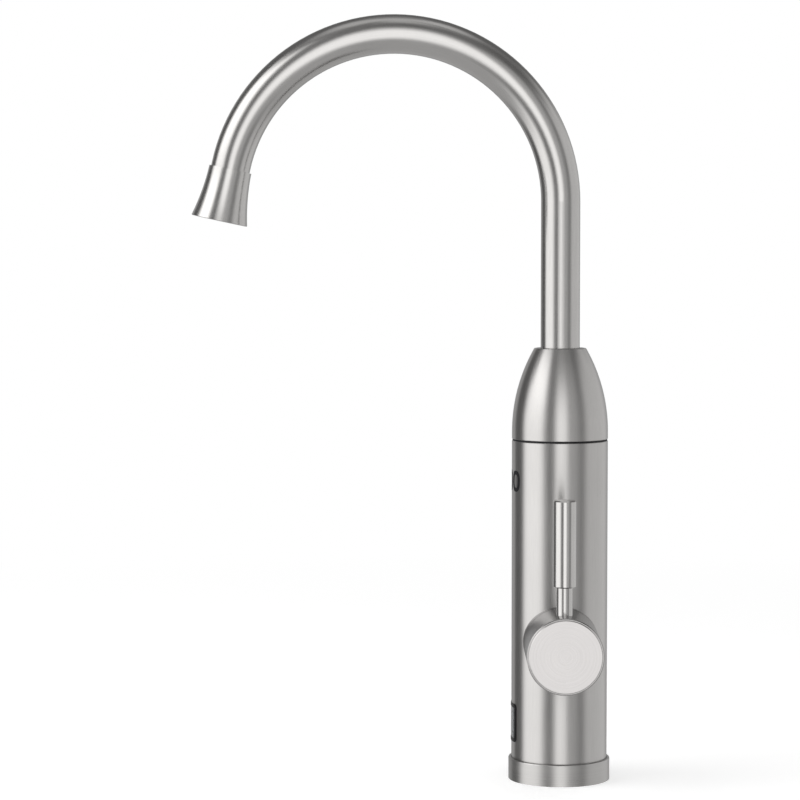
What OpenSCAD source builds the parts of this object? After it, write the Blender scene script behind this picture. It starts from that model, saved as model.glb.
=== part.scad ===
// Electric instant water heater tap, millimetres
// Origin on the body axis at the underside of the foot, +Z up, the spout reaches towards -Y
// and the handle stands out towards +X

/* [Body] */
// Outside diameter of the body tube
body_d = 54; // [52:0.5:60]
// Wall of the body tube and of the dome
body_wall = 1.2; // [1:0.1:1.4]
// Height of the black seam between body and dome
seam_z = 192.4; // [186:0.2:210]
// Thickness of the seam gasket
seam_t = 1; // [0.6:0.1:1.6]

/* [Foot ring] */
// How far the foot ring stands out past the body
ring_step = 1.6; // [1:0.1:3]
// Height of the foot ring
ring_h = 12.4; // [11:0.2:16]
// Rounding of the top edge of the foot ring
ring_round = 0.8; // [0.4:0.1:1]
// Thickness of the rubber gasket under the foot
foot_gasket_t = 0.8; // [0.6:0.1:1.4]
// Thickness of the flange of the foot casting
foot_flange_t = 2.4; // [2:0.1:3]
// Thickness of the ledge in the ring that carries the body tube
ledge_t = 1.8; // [1.4:0.1:2.6]

/* [Foot fittings] */
// Radius of the circle that holds inlet, stud and cable gland
foot_pcr = 9; // [8.8:0.1:9.4]
// Tapped bore for an M10x1 supply hose
inlet_tap_d = 9; // [8.6:0.1:9.4]
// Tapped bore for an M8 fixing stud
stud_tap_d = 6.8; // [6.4:0.1:7.2]
// Bore of the cable gland
gland_bore_d = 7; // [5:0.5:8]
// Diameter of the three long tie rods
rod_d = 3; // [2.5:0.5:3.5]

/* [Dome] */
// Height of the dome above the seam
dome_h = 51.1; // [46:0.5:60]
// Straight skirt of the dome above the seam
dome_skirt = 4.1; // [3:0.1:6]
// Diameter of the dome at its top shoulder
dome_top_d = 31.4; // [30:0.2:34]
// Radius of the top shoulder
shoulder_r = 2.2; // [1.2:0.1:2.4]
// Depth of the thick collar at the top of the dome
collar_depth = 10; // [8:0.5:12]

/* [Spout] */
// Outside diameter of the spout tube
spout_d = 22; // [20.5:0.5:23]
// Wall of the spout tube
spout_wall = 1; // [0.8:0.1:1.2]
// Straight height of the spout above the dome
riser_h = 82; // [60:1:140]
// Centreline radius of the spout arch
bend_r = 93.5; // [70:0.5:120]
// Lean of the outlet from straight down, degrees
outlet_tilt = 12.4; // [0:0.2:20]
// Straight tube that shows between the arch and the outlet
tail_show = 2; // [1:0.5:8]

/* [Outlet] */
// Diameter of the flared outlet where it meets the tube
flare_top_d = 24; // [23.8:0.1:26]
// Diameter of the mouth of the flared outlet
flare_d = 32; // [30:0.5:36]
// Length of the flared outlet
flare_l = 29.5; // [28:0.5:34]
// Radius of the hollow curve of the flare
flare_curve_r = 130; // [110:5:200]

/* [Handle] */
// Height of the handle axis
handle_z = 80; // [79:0.5:90]
// Diameter of the handle knob
knob_d = 42; // [40:0.5:46]
// Distance of the knob face from the body axis
knob_x = 75; // [74:0.5:82]
// Front of the fixed collar, from the body axis
collar_x = 31; // [30.5:0.1:33]
// Width of the rim of the knob round its pale face
cap_rim = 1; // [0.8:0.1:3]
// How far the face stands proud of the knob
cap_proud = 0.6; // [0.3:0.1:1]
// Wall of the knob
knob_wall = 2.2; // [1.8:0.1:2.6]
// Angle that the handle turns to each side
handle_turn = 90; // [60:5:90]

/* [Lever] */
// Distance of the lever from the body axis
lever_x = 58.8; // [57:0.2:60]
// Diameter of the lever neck
neck_d = 8.8; // [8:0.1:10]
// Diameter of the lever grip
grip_d = 12.6; // [11:0.1:14]
// Height of the lower end of the grip above the handle axis
grip_low = 36; // [32:0.5:44]
// Length of the grip
grip_l = 47.5; // [40:0.5:60]

/* [Display] */
// Width of the display frame
display_w = 22.5; // [21:0.5:24]
// Height of the display frame
display_h = 21.5; // [21:0.5:24]
// Height of the middle of the display
display_z = 32.7; // [31:0.1:34]
// Width of the rim of the display frame
display_rim = 2; // [1.4:0.1:2.4]

/* [Heater] */
// Wall of the water vessel
vessel_wall = 1.5; // [1.2:0.1:1.8]
// Diameter of the tubular heating element
element_d = 6; // [5:0.1:6]
// Turns of the heating element
element_turns = 6; // [4:1:6]

/* [Flow switch] */
// Travel of the flow piston
piston_stroke = 6; // [3:0.5:7]
// Bore of the flow switch
piston_bore_d = 10; // [9.6:0.1:10.4]
// Wire diameter of the return spring
spring_wire = 0.7; // [0.5:0.1:0.8]
// Turns of the return spring
spring_turns = 6; // [4:1:7]

/* [Hidden] */

$fn = 96;
eps = 0.01;

// Clearances
fit_gap = 0.05;
slip_gap = 0.1;
run_gap = 0.35;
seal_gap = 0.02;
run_seal_gap = 0.04;

// Body
body_r = body_d / 2;
shell_ir = body_r - body_wall;
shell_z0 = foot_gasket_t + foot_flange_t + ledge_t;
shell_z1 = seam_z - seam_t / 2;
dome_z0 = seam_z + seam_t / 2;
dome_top_z = dome_z0 + dome_h;
seam_sink = 0.3;
seam_edge = 0.25;

// Foot ring
ring_r = body_r + ring_step;
ring_ir = body_r + slip_gap + fit_gap;
ledge_w = 4;
ledge_ir = ring_ir - ledge_w;
ledge_z = foot_gasket_t + foot_flange_t;
foot_flange_r = ring_ir - run_gap;
foot_hub_r = ledge_ir - slip_gap;
foot_hub_h = 4;
foot_gasket_ir = 18.6;
foot_hub_z = ledge_z + foot_hub_h;

// Tie rods run between the vessel and the body tube
rod_r = rod_d / 2;
rod_edge = 1;
rod_pcr = shell_ir - rod_edge - rod_r;
rod_angles = [55, 180, 305];
rod_head_rim = 1.4;
rod_head_r = rod_r + rod_head_rim;
rod_head_t = 1.6;
rod_socket_r = 1;

// Fittings in the foot: inlet, fixing stud and cable gland on one circle
inlet_a = 180;
stud_a = 60;
gland_a = 300;
inlet_x = -foot_pcr;
nipple_r = 6.6;
nipple_hex_r = 8.2;
nipple_hex_t = 3;
nipple_boss_h = 3;
nipple_seat_z = foot_hub_z + nipple_boss_h;
nipple_spigot_r = 5.6;
nipple_spigot_l = 8;
water_bore_r = 3;
inlet_tap_l = 9;
strainer_t = 1;
strainer_hole_r = 0.6;
strainer_pitch = 1.4;
strainer_seat_r = inlet_tap_d / 2 - 0.5;
nipple_oring_r = 0.9;
stud_boss_r = 6;
stud_boss_h = 6;
gland_r = 5;
gland_rim_r = 6;
gland_rim_t = 1.2;
gland_boss_h = 2;
clamp_w = 21;
clamp_depth = 5;
clamp_t = 3;
clamp_eye_t = 2;
clamp_turn = 60;
clamp_leg_t = 0.8;
clamp_screw_r = 1.2;
clamp_screw_span = 16.4;
clamp_z = foot_hub_z + gland_boss_h + gland_rim_t + slip_gap;
nipple_oring_mid = nipple_spigot_r + fit_gap - seal_gap - nipple_oring_r;
nipple_oring_z = nipple_seat_z + nipple_hex_t + nipple_spigot_l / 2;

// Small screws in the foot: two for the cord clamp, one for the earth lug
earth_r = 1.2;
earth_pos = [13.5, 4.5];
earth_lug_t = 0.8;
earth_lug_r = 3.2;
earth_tab = [3, 8.5, 9];
screw_rim = 0.9;
screw_cap_t = 1.4;
screw_grip = 3.5;
screw_hole_spare = 0.5;

// Valve block and cartridge, along the handle axis from the body axis
block_r = 14.5;
boss_r = 14;
block_h = 36;
block_z0 = handle_z - block_h / 2;
block_z1 = handle_z + block_h / 2;
boss_x = 19;
cavity_r = 12.6;
cavity_x = 3;
port_r = 2.4;
shaft_port_r = 2.8;
port_off = 5;
inlet_socket_r = 3.7;
feed_socket_r = 5;
socket_l = 5;
seal_t = 1;
disc_r = 9.6;
fixed_disc_t = 3;
moving_disc_t = 2.5;
bridge_depth = 1.2;
disc_x = cavity_x + seal_t;
moving_x = disc_x + fixed_disc_t + fit_gap;
driver_x = moving_x + moving_disc_t;
driver_r = 7.6;
driver_t = 2.8;
stop_w = 3;
stop_r = disc_r - run_gap - slip_gap;
stop_ir = driver_r + run_gap;
stop_spare = 2.5;
stop_edge = asin(stop_w / 2 / stop_ir) + stop_spare;
cart_r = cavity_r - fit_gap;
cart_ir = disc_r + slip_gap;
cart_wall_x = driver_x + driver_t + run_gap;
cart_wall_t = 2.2;
cart_hub_r = 8.8;
cart_hub_l = 5;
spindle_r = 5;
spindle_bore_r = spindle_r + fit_gap;
spindle_oring_r = 0.9;
spindle_oring_mid = spindle_r + run_seal_gap + spindle_oring_r;
spindle_oring_x = cart_wall_x + cart_wall_t + cart_hub_l / 2;
nut_x = cart_wall_x + cart_wall_t;
nut_head_x = boss_x + slip_gap;
nut_head_t = 3.5;
nut_head_r = 13.4;

// Fixed collar round the cartridge
knob_r = knob_d / 2;
collar_spigot_r = 15.6;
collar_block_gap = 0.5;
collar_spigot_x = block_r + collar_block_gap;
collar_thread_r = boss_r + fit_gap;
collar_wall_t = 2.4;
collar_hole_gap = 1;
collar_hole_r = spindle_r + collar_hole_gap;
shell_hole_r = collar_spigot_r + slip_gap;

// Knob
knob_back_x = collar_x + run_gap;
knob_front_x = knob_x - cap_proud;
knob_ir = knob_r - knob_wall;
cap_r = knob_r - cap_rim;
cap_t = 3;
cap_edge = 0.4;
cap_seat_x = knob_x - cap_t;
web_t = 3;
web_x = cap_seat_x - web_t;
hub_r = 8;
hub_sink = 8;
hub_x = knob_back_x + hub_sink;
hub_bore_past = 3;
hub_bore_x = lever_x + hub_bore_past;
spindle_end_x = hub_bore_x - slip_gap;
flat_depth = 1;
spindle_flat = spindle_r - flat_depth;
screw_r = 1.9;
screw_head_r = 3.6;
screw_head_t = 2.2;
screw_l = 16;
screw_socket_r = 1.7;
lever_boss_r = 5.6;
knob_chamfer = 0.5;

// Lever, heights above the handle axis
neck_r = neck_d / 2;
grip_r = grip_d / 2;
stud_r = 2.9;
stud_in = 9;
spot_r = neck_r + slip_gap;
spot_in = 0.2;
spot_h = sqrt(knob_r * knob_r - spot_r * spot_r) - spot_in;
core_r = 3;
core_l = 30;
grip_edge = 0.6;

// Water vessel and its cap
vessel_rod_gap = 1.4;
vessel_r = rod_pcr - rod_r - vessel_rod_gap;
vessel_gap = 8;
vessel_z0 = block_z1 + vessel_gap;
vessel_ir = vessel_r - vessel_wall;
vessel_seal_t = 1;
vessel_cap_r = shell_ir - slip_gap;
vessel_cap_wrap = 7;
cap_disc_t = 3.6;
cap_disc_sink = 1.5;
cap_disc_z0 = seam_z - cap_disc_sink;
cap_disc_z1 = cap_disc_z0 + cap_disc_t;
cap_ring_t = 3;
vessel_z1 = cap_disc_z0 - vessel_seal_t;
rod_reach = 1;
rod_top_z = cap_disc_z0 + rod_reach;
feed_r = feed_socket_r - fit_gap;
feed_bore_r = 3.4;
feed_boss_r = 8;
feed_boss_h = 5.5;

// Heating element: a coil whose two ends step out to straight legs
element_r = element_d / 2;
element_foot = 14;
element_head = 12;
leg_gap = 0.6;
leg_r = vessel_ir - element_r - leg_gap;
coil_gap = 0.7;
coil_r = leg_r - 2 * element_r - coil_gap;
coil_z0 = vessel_z0 + element_foot;
coil_z1 = vessel_z1 - element_head;
element_bend = 6;
element_step = 120;
bend_a = element_bend / leg_r * 180 / PI;
leg_a = 250;
far_leg_a = leg_a + 2 * bend_a + 2 * element_step;
element_reach = 1;
element_low_z = vessel_z0 - element_reach;
element_sides = 8;
bush_l = 1.5;
bush_step = 0.4;
pin_r = 1;
pin_l = 3.4;

// Thermal cut-out strapped to the vessel, and the probe in its cap
cutout_w = 7;
cutout_h = 17;
cutout_t = 3.4;
cutout_a = 110;
cutout_rise = 30;
cutout_z = vessel_z0 + cutout_rise;
clip_t = 0.6;
clip_h = 8;
clip_ir = vessel_r + fit_gap;
probe_r = 2;
probe_gap = 0.7;
probe_x = -(vessel_ir - probe_r - probe_gap);
probe_l = 8;
probe_head_r = 3.2;
probe_head_h = 2.4;

// Spout bearing inside the dome
spout_r = spout_d / 2;
spout_ir = spout_r - spout_wall;
stub_gap = 0.07;
stub_r = spout_ir - stub_gap;
stub_bore_r = 6;
socket_thread_r = 8;
socket_flange_r = 11.8;
socket_flange_t = 4;
socket_z = cap_disc_z1;
washer_t = 1.5;
washer_z = socket_z + socket_flange_t;
spout_low_z = washer_z + washer_t + slip_gap;
stub_sink = 10;
stub_top_z = dome_top_z - stub_sink;
spout_oring_r = 1.1;
spout_oring_in = 6;
spout_oring_z = [spout_low_z + spout_oring_in, stub_top_z - spout_oring_in];
spout_oring_mid = spout_ir - run_seal_gap - spout_oring_r;
snap_z = (spout_oring_z[0] + spout_oring_z[1]) / 2;
snap_t = 1.2;
snap_out = 0.25;
snap_in = 0.8;
snap_split = 2;
snap_low = snap_z - snap_t / 2;
snap_high = snap_z + snap_t / 2;
lip_t = 1.5;
lip_gap = 0.4;
bush_t = 1.8;
bush_ir = spout_r + fit_gap;
bush_r = bush_ir + bush_t;
bend_z = dome_top_z + riser_h;
sweep = 180 - outlet_tilt;

// Outlet parts, along the flow from the end of the arch
tube_in = 4;
tube_end = tail_show + tube_in;
adapter_z0 = 0.3;
adapter_r = spout_ir - fit_gap;
adapter_flange_t = 1;
adapter_step = 0.5;
adapter_thread_r = spout_r - adapter_step;
adapter_thread_l = 6;
adapter_bore_r = 7.5;
adapter_end = tube_end + adapter_flange_t + adapter_thread_l;
aerator_seal_t = 1.2;
insert_z = adapter_end + aerator_seal_t;
insert_wall = 1.5;
insert_rib_t = 1;
insert_rib_z = insert_z + 2;
insert_flange_t = 2.5;
flare_wall = 3;
insert_flange_r = flare_d / 2 - flare_wall;
mouth_depth = 2.4;
mesh_t = 0.6;
mesh_pitch = 2.2;
mesh_bar = 0.6;
mesh_rim = 1.2;
flare_z1 = tail_show + flare_l;
mesh_z = flare_z1 - mouth_depth - mesh_t;
flare_lip = 0.9;
flare_edge = 0.4;

// Curve of the dome, tangent to the skirt and passing through the top shoulder
arc_z0 = dome_z0 + dome_skirt;
arc_rise = dome_top_z - shoulder_r - arc_z0;
arc_drop = body_r - dome_top_d / 2;
dome_arc_r = (arc_rise * arc_rise + arc_drop * arc_drop) / (2 * arc_drop);
dome_arc_a = asin((dome_top_z - arc_z0) / dome_arc_r);
dome_steps = 32;

// Flow switch above the inlet
sensor_r = 8;
sensor_z0 = nipple_seat_z + nipple_hex_t + slip_gap;
sensor_web_t = 1.4;
sensor_socket_z = nipple_seat_z + nipple_hex_t + nipple_spigot_l + slip_gap;
sensor_bore_z0 = sensor_socket_z + sensor_web_t;
piston_bore_r = piston_bore_d / 2;
piston_r = piston_bore_r - run_gap;
piston_h = 10;
piston_z0 = sensor_bore_z0 + slip_gap;
piston_slot_r = 0.9;
spring_spare = 1.8;
spring_h = piston_stroke + spring_turns * spring_wire + spring_spare;
spring_z0 = piston_z0 + piston_h + slip_gap;
spring_z1 = spring_z0 + spring_h;
spring_sides = 6;
spring_points = 12;
spring_seat = spring_wire / 2 + fit_gap;
sensor_lid_t = 3;
sensor_z1 = spring_z1 + sensor_lid_t;
sensor_neck_r = inlet_socket_r - fit_gap;
sensor_neck_bore_r = 2.4;
sensor_neck_z1 = block_z0 + socket_l - slip_gap;
magnet_r = 2;
magnet_h = 6;
magnet_sink = 1;
magnet_z1 = piston_z0 + piston_h - magnet_sink;
spring_r = 3.4;
reed_r = 1.3;
reed_l = 15;
reed_x = inlet_x - sensor_r - reed_r - slip_gap;
reed_clip_h = 5;
reed_clip_wall = 0.9;
reed_clip_w = 2 * (reed_r + reed_clip_wall);
reed_z = spring_z0 - reed_l / 2;

// Display
display_proud = 0.3;
display_corner = 2;
window_play = 0.1;
window_seat = 1;
plug_in = 0.8;
window_w = display_w - 2 * display_rim + 2 * window_seat;
window_h = display_h - 2 * display_rim + 2 * window_seat;
window_corner = 1;
lens_t = 1;
lens_sink = 0.15;
module_w = 16;
module_h = 14;
module_t = 4;
module_gap = 2.6;
module_y = -(shell_ir - module_gap);
digit_w = 5;
digit_h = 9.4;
digit_bar = 1.1;
digit_pitch = 7.4;
digit_t = 0.3;
digit_bars = [
    [1, 0, 1, 1, 0, 1, 1],
    [1, 1, 1, 1, 1, 1, 1]
];

// Electronics behind the display
board_t = 1.6;
board_w = 22;
board_low_gap = 1;
board_high_gap = 4;
board_z0 = clamp_z + clamp_t + screw_cap_t + board_low_gap;
board_z1 = block_z0 - board_high_gap;
board_y = module_y + module_t;
bracket_w = 3;
bracket_t = 3.4;
bracket_bar_h = 5;
bracket_y = board_y + board_t;
relay_size = [13, 8.8, 15];
relay_x = -relay_size[0] / 2;
relay_drop = 3.5;
relay_z = board_z1 - relay_size[2] - relay_drop;
block_size = [15, 7, 9];
terminal_x = -block_size[0] / 2;
terminal_rise = 11;
terminal_z = foot_hub_z + terminal_rise;
terminal_ways = 3;
terminal_way_r = 1.6;
bracket_bar_z = (terminal_z + block_size[2] + relay_z - bracket_bar_h) / 2;

// Insulated leads from the relay to the two legs of the heating element
lead_r = 0.9;
lead_gap = 0.3;
lead_sides = 6;
lead_steps = 18;
lead_z0 = relay_z + relay_size[2] + slip_gap;
lead_pin_gap = 0.5;
lead_z1 = element_low_z - bush_l - lead_pin_gap;
lead_start_r = [15.5, 15.4];
lead_start_a = [250.4, 267.8];
lead_stub = 1;
lead_end_a = [far_leg_a - 360, leg_a];
lead_out_r = leg_r + pin_r + lead_gap + lead_r;

// Point at a radius and an angle about the body axis
function around(r, a, z) = [r * cos(a), r * sin(a), z];

// Rises smoothly from 0 to 1
function ease(s) = s * s * (3 - 2 * s);

// Path of the return spring, from its lower to its upper seat
spring_path = [
    for (i = [0 : spring_turns * spring_points])
        let (s = i / (spring_turns * spring_points))
            around(
                spring_r,
                360 / spring_points * i,
                spring_z0 + spring_seat + (spring_h - 2 * spring_seat) * s
            )
];

// Path of the element: leg, bend, step inward, coil, step outward, bend and far leg
first_a = leg_a + bend_a;
coil_a = first_a + element_step;
coil_turn = 360 * element_turns;
far_step_a = coil_a + coil_turn + element_step;
element_path = concat(
    [for (s = [0 : 0.1 : 0.9])
        around(leg_r, leg_a, element_low_z + (coil_z1 - element_bend - element_low_z) * s)],
    [for (s = [0 : 15 : 75])
        around(leg_r, leg_a + bend_a * (1 - cos(s)), coil_z1 - element_bend * (1 - sin(s)))],
    [for (s = [0 : 0.125 : 0.875])
        around(leg_r + (coil_r - leg_r) * ease(s), first_a + element_step * s, coil_z1)],
    [for (i = [0 : 14 * element_turns - 1])
        let (s = i / (14 * element_turns))
            around(coil_r, coil_a + coil_turn * s, coil_z1 - (coil_z1 - coil_z0) * s)],
    [for (s = [0 : 0.125 : 0.875])
        around(coil_r + (leg_r - coil_r) * ease(s), coil_a + coil_turn + element_step * s, coil_z0)],
    [for (s = [0 : 15 : 90])
        around(leg_r, far_step_a + bend_a * sin(s), coil_z0 - element_bend * (1 - cos(s)))],
    [around(leg_r, far_step_a + bend_a, element_low_z)]
);

// Each lead rises from the relay, passes outside the valve block and ends beside a leg of the element
lead_paths = [
    for (n = [0, 1])
        concat(
            [around(lead_start_r[n], lead_start_a[n], lead_z0)],
            [for (i = [0 : lead_steps])
                let (s = i / lead_steps)
                    around(
                        lead_start_r[n] + (lead_out_r - lead_start_r[n]) * ease(min(1, 5 * s)),
                        lead_start_a[n] + (lead_end_a[n] - lead_start_a[n]) * ease(s),
                        lead_z0 + lead_stub + (lead_z1 - lead_z0 - 2 * lead_stub) * s
                    )],
            [around(lead_out_r, lead_end_a[n], lead_z1)]
        )
];

// Hollow curve of the flare as a circle that the outline is cut back to
flare_rise = (flare_d - flare_top_d) / 2;
flare_chord = norm([flare_rise, flare_l]);
flare_off = sqrt(flare_curve_r * flare_curve_r - flare_chord * flare_chord / 4);
flare_cx = flare_top_d / 2 + flare_rise / 2 + flare_off * flare_l / flare_chord;
flare_cz = tail_show + flare_l / 2 - flare_off * flare_rise / flare_chord;

// Points round each station of a bent wire that winds about the Z axis
function wire_points(path, r, sides) = [
    for (i = [0 : len(path) - 1])
        let (
            ahead = path[min(i + 1, len(path) - 1)] - path[max(i - 1, 0)],
            t = ahead / norm(ahead),
            side = cross(t, [path[i][0], path[i][1], 0]),
            u = side / norm(side),
            v = cross(t, u)
        )
        for (k = [0 : sides - 1]) path[i] + r * (cos(360 * k / sides) * u + sin(360 * k / sides) * v)
];

// Least gap between the turns of a wire, measured between stations that lie apart along it
function least_gap(path, r, apart) = min([
    for (i = [0 : len(path) - 1 - apart], j = [i + apart : len(path) - 1]) norm(path[i] - path[j])
]) - 2 * r;

echo(spring_gap = least_gap(spring_path, spring_wire / 2, 8));
echo(element_gap = least_gap(element_path, element_r, 9));

// Turns a shape so that its Z axis runs along the handle axis, out of the body
module along_handle() {
    translate([0, 0, handle_z]) rotate([0, 90, 0]) children();
}

// Places a shape at the centre of the arch, with X towards the riser and Y upward
module at_arch() {
    translate([0, -bend_r, bend_z]) rotate([90, 0, 90]) children();
}

// Places a shape at the end of the arch with its Z axis along the flow
module at_outlet() {
    at_arch() rotate([0, 0, sweep]) translate([bend_r, 0, 0]) rotate([-90, 0, 0]) children();
}

// Round ring with a square section
module ring(outer, inner, low, high) {
    translate([0, 0, low])
        difference() {
            cylinder(r = outer, h = high - low);
            translate([0, 0, -1]) cylinder(r = inner, h = high - low + 2);
        }
}

// Round disc between two heights
module disc(r, low, high) {
    translate([0, 0, low]) cylinder(r = r, h = high - low);
}

// Rubber ring with a round section
module oring(mid_r, section_r, z) {
    translate([0, 0, z]) rotate_extrude() translate([mid_r, 0]) circle(r = section_r, $fn = 32);
}

// Groove for a rubber ring, cut into a round shaft
module groove(shaft_r, mid_r, section_r, z) {
    ring(shaft_r + 1, mid_r - section_r - fit_gap, z - section_r - fit_gap, z + section_r + fit_gap);
}

// Rectangle with round corners, centred
module round_rect(w, h, r) {
    square([w, h - 2 * r], center = true);
    square([w - 2 * r, h], center = true);
    for (x = [-1, 1], y = [-1, 1])
        translate([x * (w / 2 - r), y * (h / 2 - r)]) circle(r = r, $fn = 32);
}

// Copies a shape to each tie rod
module at_rods() {
    for (a = rod_angles) rotate([0, 0, a]) translate([rod_pcr, 0, 0]) children();
}

// Copies a shape to a fitting in the foot
module at_foot(angle) {
    rotate([0, 0, angle]) translate([foot_pcr, 0, 0]) rotate([0, 0, -angle]) children();
}

// Foot

module base_ring() {
    color("#b9b8b6")
        difference() {
            rotate_extrude()
                difference() {
                    union() {
                        square([ring_r, ring_h - ring_round]);
                        square([ring_r - ring_round, ring_h]);
                        translate([ring_r - ring_round, ring_h - ring_round])
                            circle(r = ring_round, $fn = 48);
                    }
                    translate([-1, ledge_z + ledge_t]) square([ring_ir + 1, ring_h]);
                    translate([-1, -1]) square([ring_ir + 1, ledge_z + 1]);
                    translate([-1, -1]) square([ledge_ir + 1, ring_h]);
                }
            at_rods() disc(rod_r + slip_gap, ledge_z - 1, ledge_z + ledge_t + 1);
        }
}

module base_gasket() {
    color("#1c1c1d") ring(foot_flange_r, foot_gasket_ir, 0, foot_gasket_t);
}

module base_casting() {
    color("#8d8f92")
        difference() {
            union() {
                disc(foot_flange_r, foot_gasket_t, ledge_z);
                disc(foot_hub_r, ledge_z - eps, foot_hub_z);
                at_foot(inlet_a) disc(nipple_hex_r, ledge_z, nipple_seat_z);
                at_foot(stud_a) disc(stud_boss_r, ledge_z, foot_hub_z + stud_boss_h);
                at_foot(gland_a) disc(gland_rim_r, ledge_z, foot_hub_z + gland_boss_h);
            }
            at_foot(inlet_a) disc(nipple_r + fit_gap, 0, nipple_seat_z + 1);
            at_foot(stud_a) disc(stud_tap_d / 2, 0, foot_hub_z + stud_boss_h + 1);
            at_foot(gland_a) disc(gland_r + fit_gap, 0, foot_hub_z + gland_boss_h + 1);
            at_rods() disc(rod_r + slip_gap, 0, foot_hub_z + 1);
            at_rods() disc(rod_head_r + slip_gap, 0, foot_gasket_t + rod_head_t);
            at_earth() disc(earth_r, foot_hub_z - screw_grip - screw_hole_spare, foot_hub_z + 1);
            at_clamp_screws() disc(clamp_screw_r, foot_hub_z - screw_grip - screw_hole_spare, foot_hub_z + 1);
        }
}

// Three long rods that clamp foot, body and vessel cap together
module tie_rods() {
    color("#a9aaac")
        at_rods() {
            disc(rod_r, foot_gasket_t + rod_head_t - eps, rod_top_z);
            difference() {
                disc(rod_head_r, foot_gasket_t, foot_gasket_t + rod_head_t);
                disc(rod_socket_r, foot_gasket_t - 1, foot_gasket_t + rod_head_t / 2);
            }
        }
}

module inlet_nipple() {
    color("#c9a650")
        at_foot(inlet_a)
            difference() {
                union() {
                    disc(nipple_r, foot_gasket_t, nipple_seat_z);
                    translate([0, 0, nipple_seat_z]) cylinder(r = nipple_hex_r, h = nipple_hex_t, $fn = 6);
                    disc(nipple_spigot_r, nipple_seat_z, nipple_seat_z + nipple_hex_t + nipple_spigot_l);
                }
                disc(inlet_tap_d / 2, 0, foot_gasket_t + inlet_tap_l);
                disc(strainer_seat_r, 0, foot_gasket_t + inlet_tap_l + strainer_t);
                disc(water_bore_r, 0, nipple_seat_z + nipple_hex_t + nipple_spigot_l + 1);
                groove(nipple_spigot_r, nipple_oring_mid, nipple_oring_r, nipple_oring_z);
            }
}

// Perforated disc in its seat behind the inlet thread
module inlet_strainer() {
    color("#c8c9cb")
        at_foot(inlet_a)
            translate([0, 0, foot_gasket_t + inlet_tap_l])
                difference() {
                    cylinder(r = strainer_seat_r - fit_gap, h = strainer_t);
                    for (ring_n = [1, 2], k = [0 : 6 * ring_n - 1])
                        rotate([0, 0, 60 / ring_n * k])
                            translate([strainer_pitch * ring_n, 0, -1])
                                cylinder(r = strainer_hole_r, h = strainer_t + 2, $fn = 16);
                }
}

module cable_gland() {
    color("#1e1e20")
        at_foot(gland_a)
            difference() {
                union() {
                    disc(gland_r, foot_gasket_t, foot_hub_z + gland_boss_h);
                    disc(gland_rim_r, foot_hub_z + gland_boss_h, foot_hub_z + gland_boss_h + gland_rim_t);
                }
                disc(gland_bore_d / 2, 0, foot_hub_z + gland_boss_h + gland_rim_t + 1);
            }
}

// Places a shape at the cable gland, turned to clear the fittings round it
module at_clamp() {
    at_foot(gland_a) rotate([0, 0, clamp_turn]) children();
}

module at_clamp_screws() {
    at_clamp() for (side = [-1, 1]) translate([side * clamp_screw_span / 2, 0, 0]) children();
}

// Plate with two legs that squeezes the gland round a cable
module cord_clamp() {
    color("#2a2b2d")
        difference() {
            union() {
                at_clamp()
                    translate([-clamp_w / 2, -clamp_depth / 2, clamp_z])
                        cube([clamp_w, clamp_depth, clamp_t]);
                at_clamp() disc(gland_bore_d / 2 + clamp_eye_t, clamp_z, clamp_z + clamp_t);
                at_clamp_screws() disc(clamp_screw_r + clamp_leg_t, foot_hub_z, clamp_z + eps);
            }
            at_clamp() disc(gland_bore_d / 2, clamp_z - 1, clamp_z + clamp_t + 1);
            at_clamp_screws() disc(clamp_screw_r + slip_gap, foot_hub_z - 1, clamp_z + clamp_t + 1);
        }
}

module at_earth() {
    translate([earth_pos[0], earth_pos[1], 0]) children();
}

// Small screw with its shank in the casting and its head on a seat
module foot_screw(r, seat_z) {
    disc(r - fit_gap, foot_hub_z - screw_grip, seat_z + eps);
    disc(r + screw_rim, seat_z, seat_z + screw_cap_t);
}

// Two screws of the cord clamp and the earth screw
module foot_screws() {
    color("#a9aaac") {
        at_clamp_screws() foot_screw(clamp_screw_r, clamp_z + clamp_t);
        at_earth() foot_screw(earth_r, foot_hub_z + earth_lug_t);
    }
}

// Eye under the earth screw with an upright blade
module earth_lug() {
    color("#c9cacc")
        at_earth()
            difference() {
                union() {
                    disc(earth_lug_r, foot_hub_z, foot_hub_z + earth_lug_t);
                    translate([-earth_tab[0] / 2, -earth_tab[1], foot_hub_z])
                        cube([earth_tab[0], earth_tab[1], earth_lug_t]);
                    translate([-earth_tab[0] / 2, -earth_tab[1], foot_hub_z])
                        cube([earth_tab[0], earth_lug_t, earth_tab[2]]);
                }
                disc(earth_r + slip_gap, foot_hub_z - 1, foot_hub_z + 2);
            }
}

// Body and dome

// Upright block cut to the rounded outline of the display, from the axis out through the wall
module display_prism(w, h, corner) {
    translate([0, 0, display_z])
        rotate([90, 0, 0])
            linear_extrude(body_r + 2) round_rect(w, h, corner);
}

module body_shell() {
    color("#b4b3b1")
        difference() {
            rotate_extrude()
                polygon([
                    [shell_ir, shell_z0],
                    [body_r, shell_z0],
                    [body_r, shell_z1 - seam_edge],
                    [body_r - seam_edge, shell_z1],
                    [shell_ir, shell_z1]
                ]);
            along_handle() disc(shell_hole_r, 0, body_r + 1);
            display_prism(window_w, window_h, window_corner);
        }
}

module seam_gasket() {
    color("#161617") ring(body_r - seam_sink, shell_ir, shell_z1, dome_z0);
}

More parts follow.
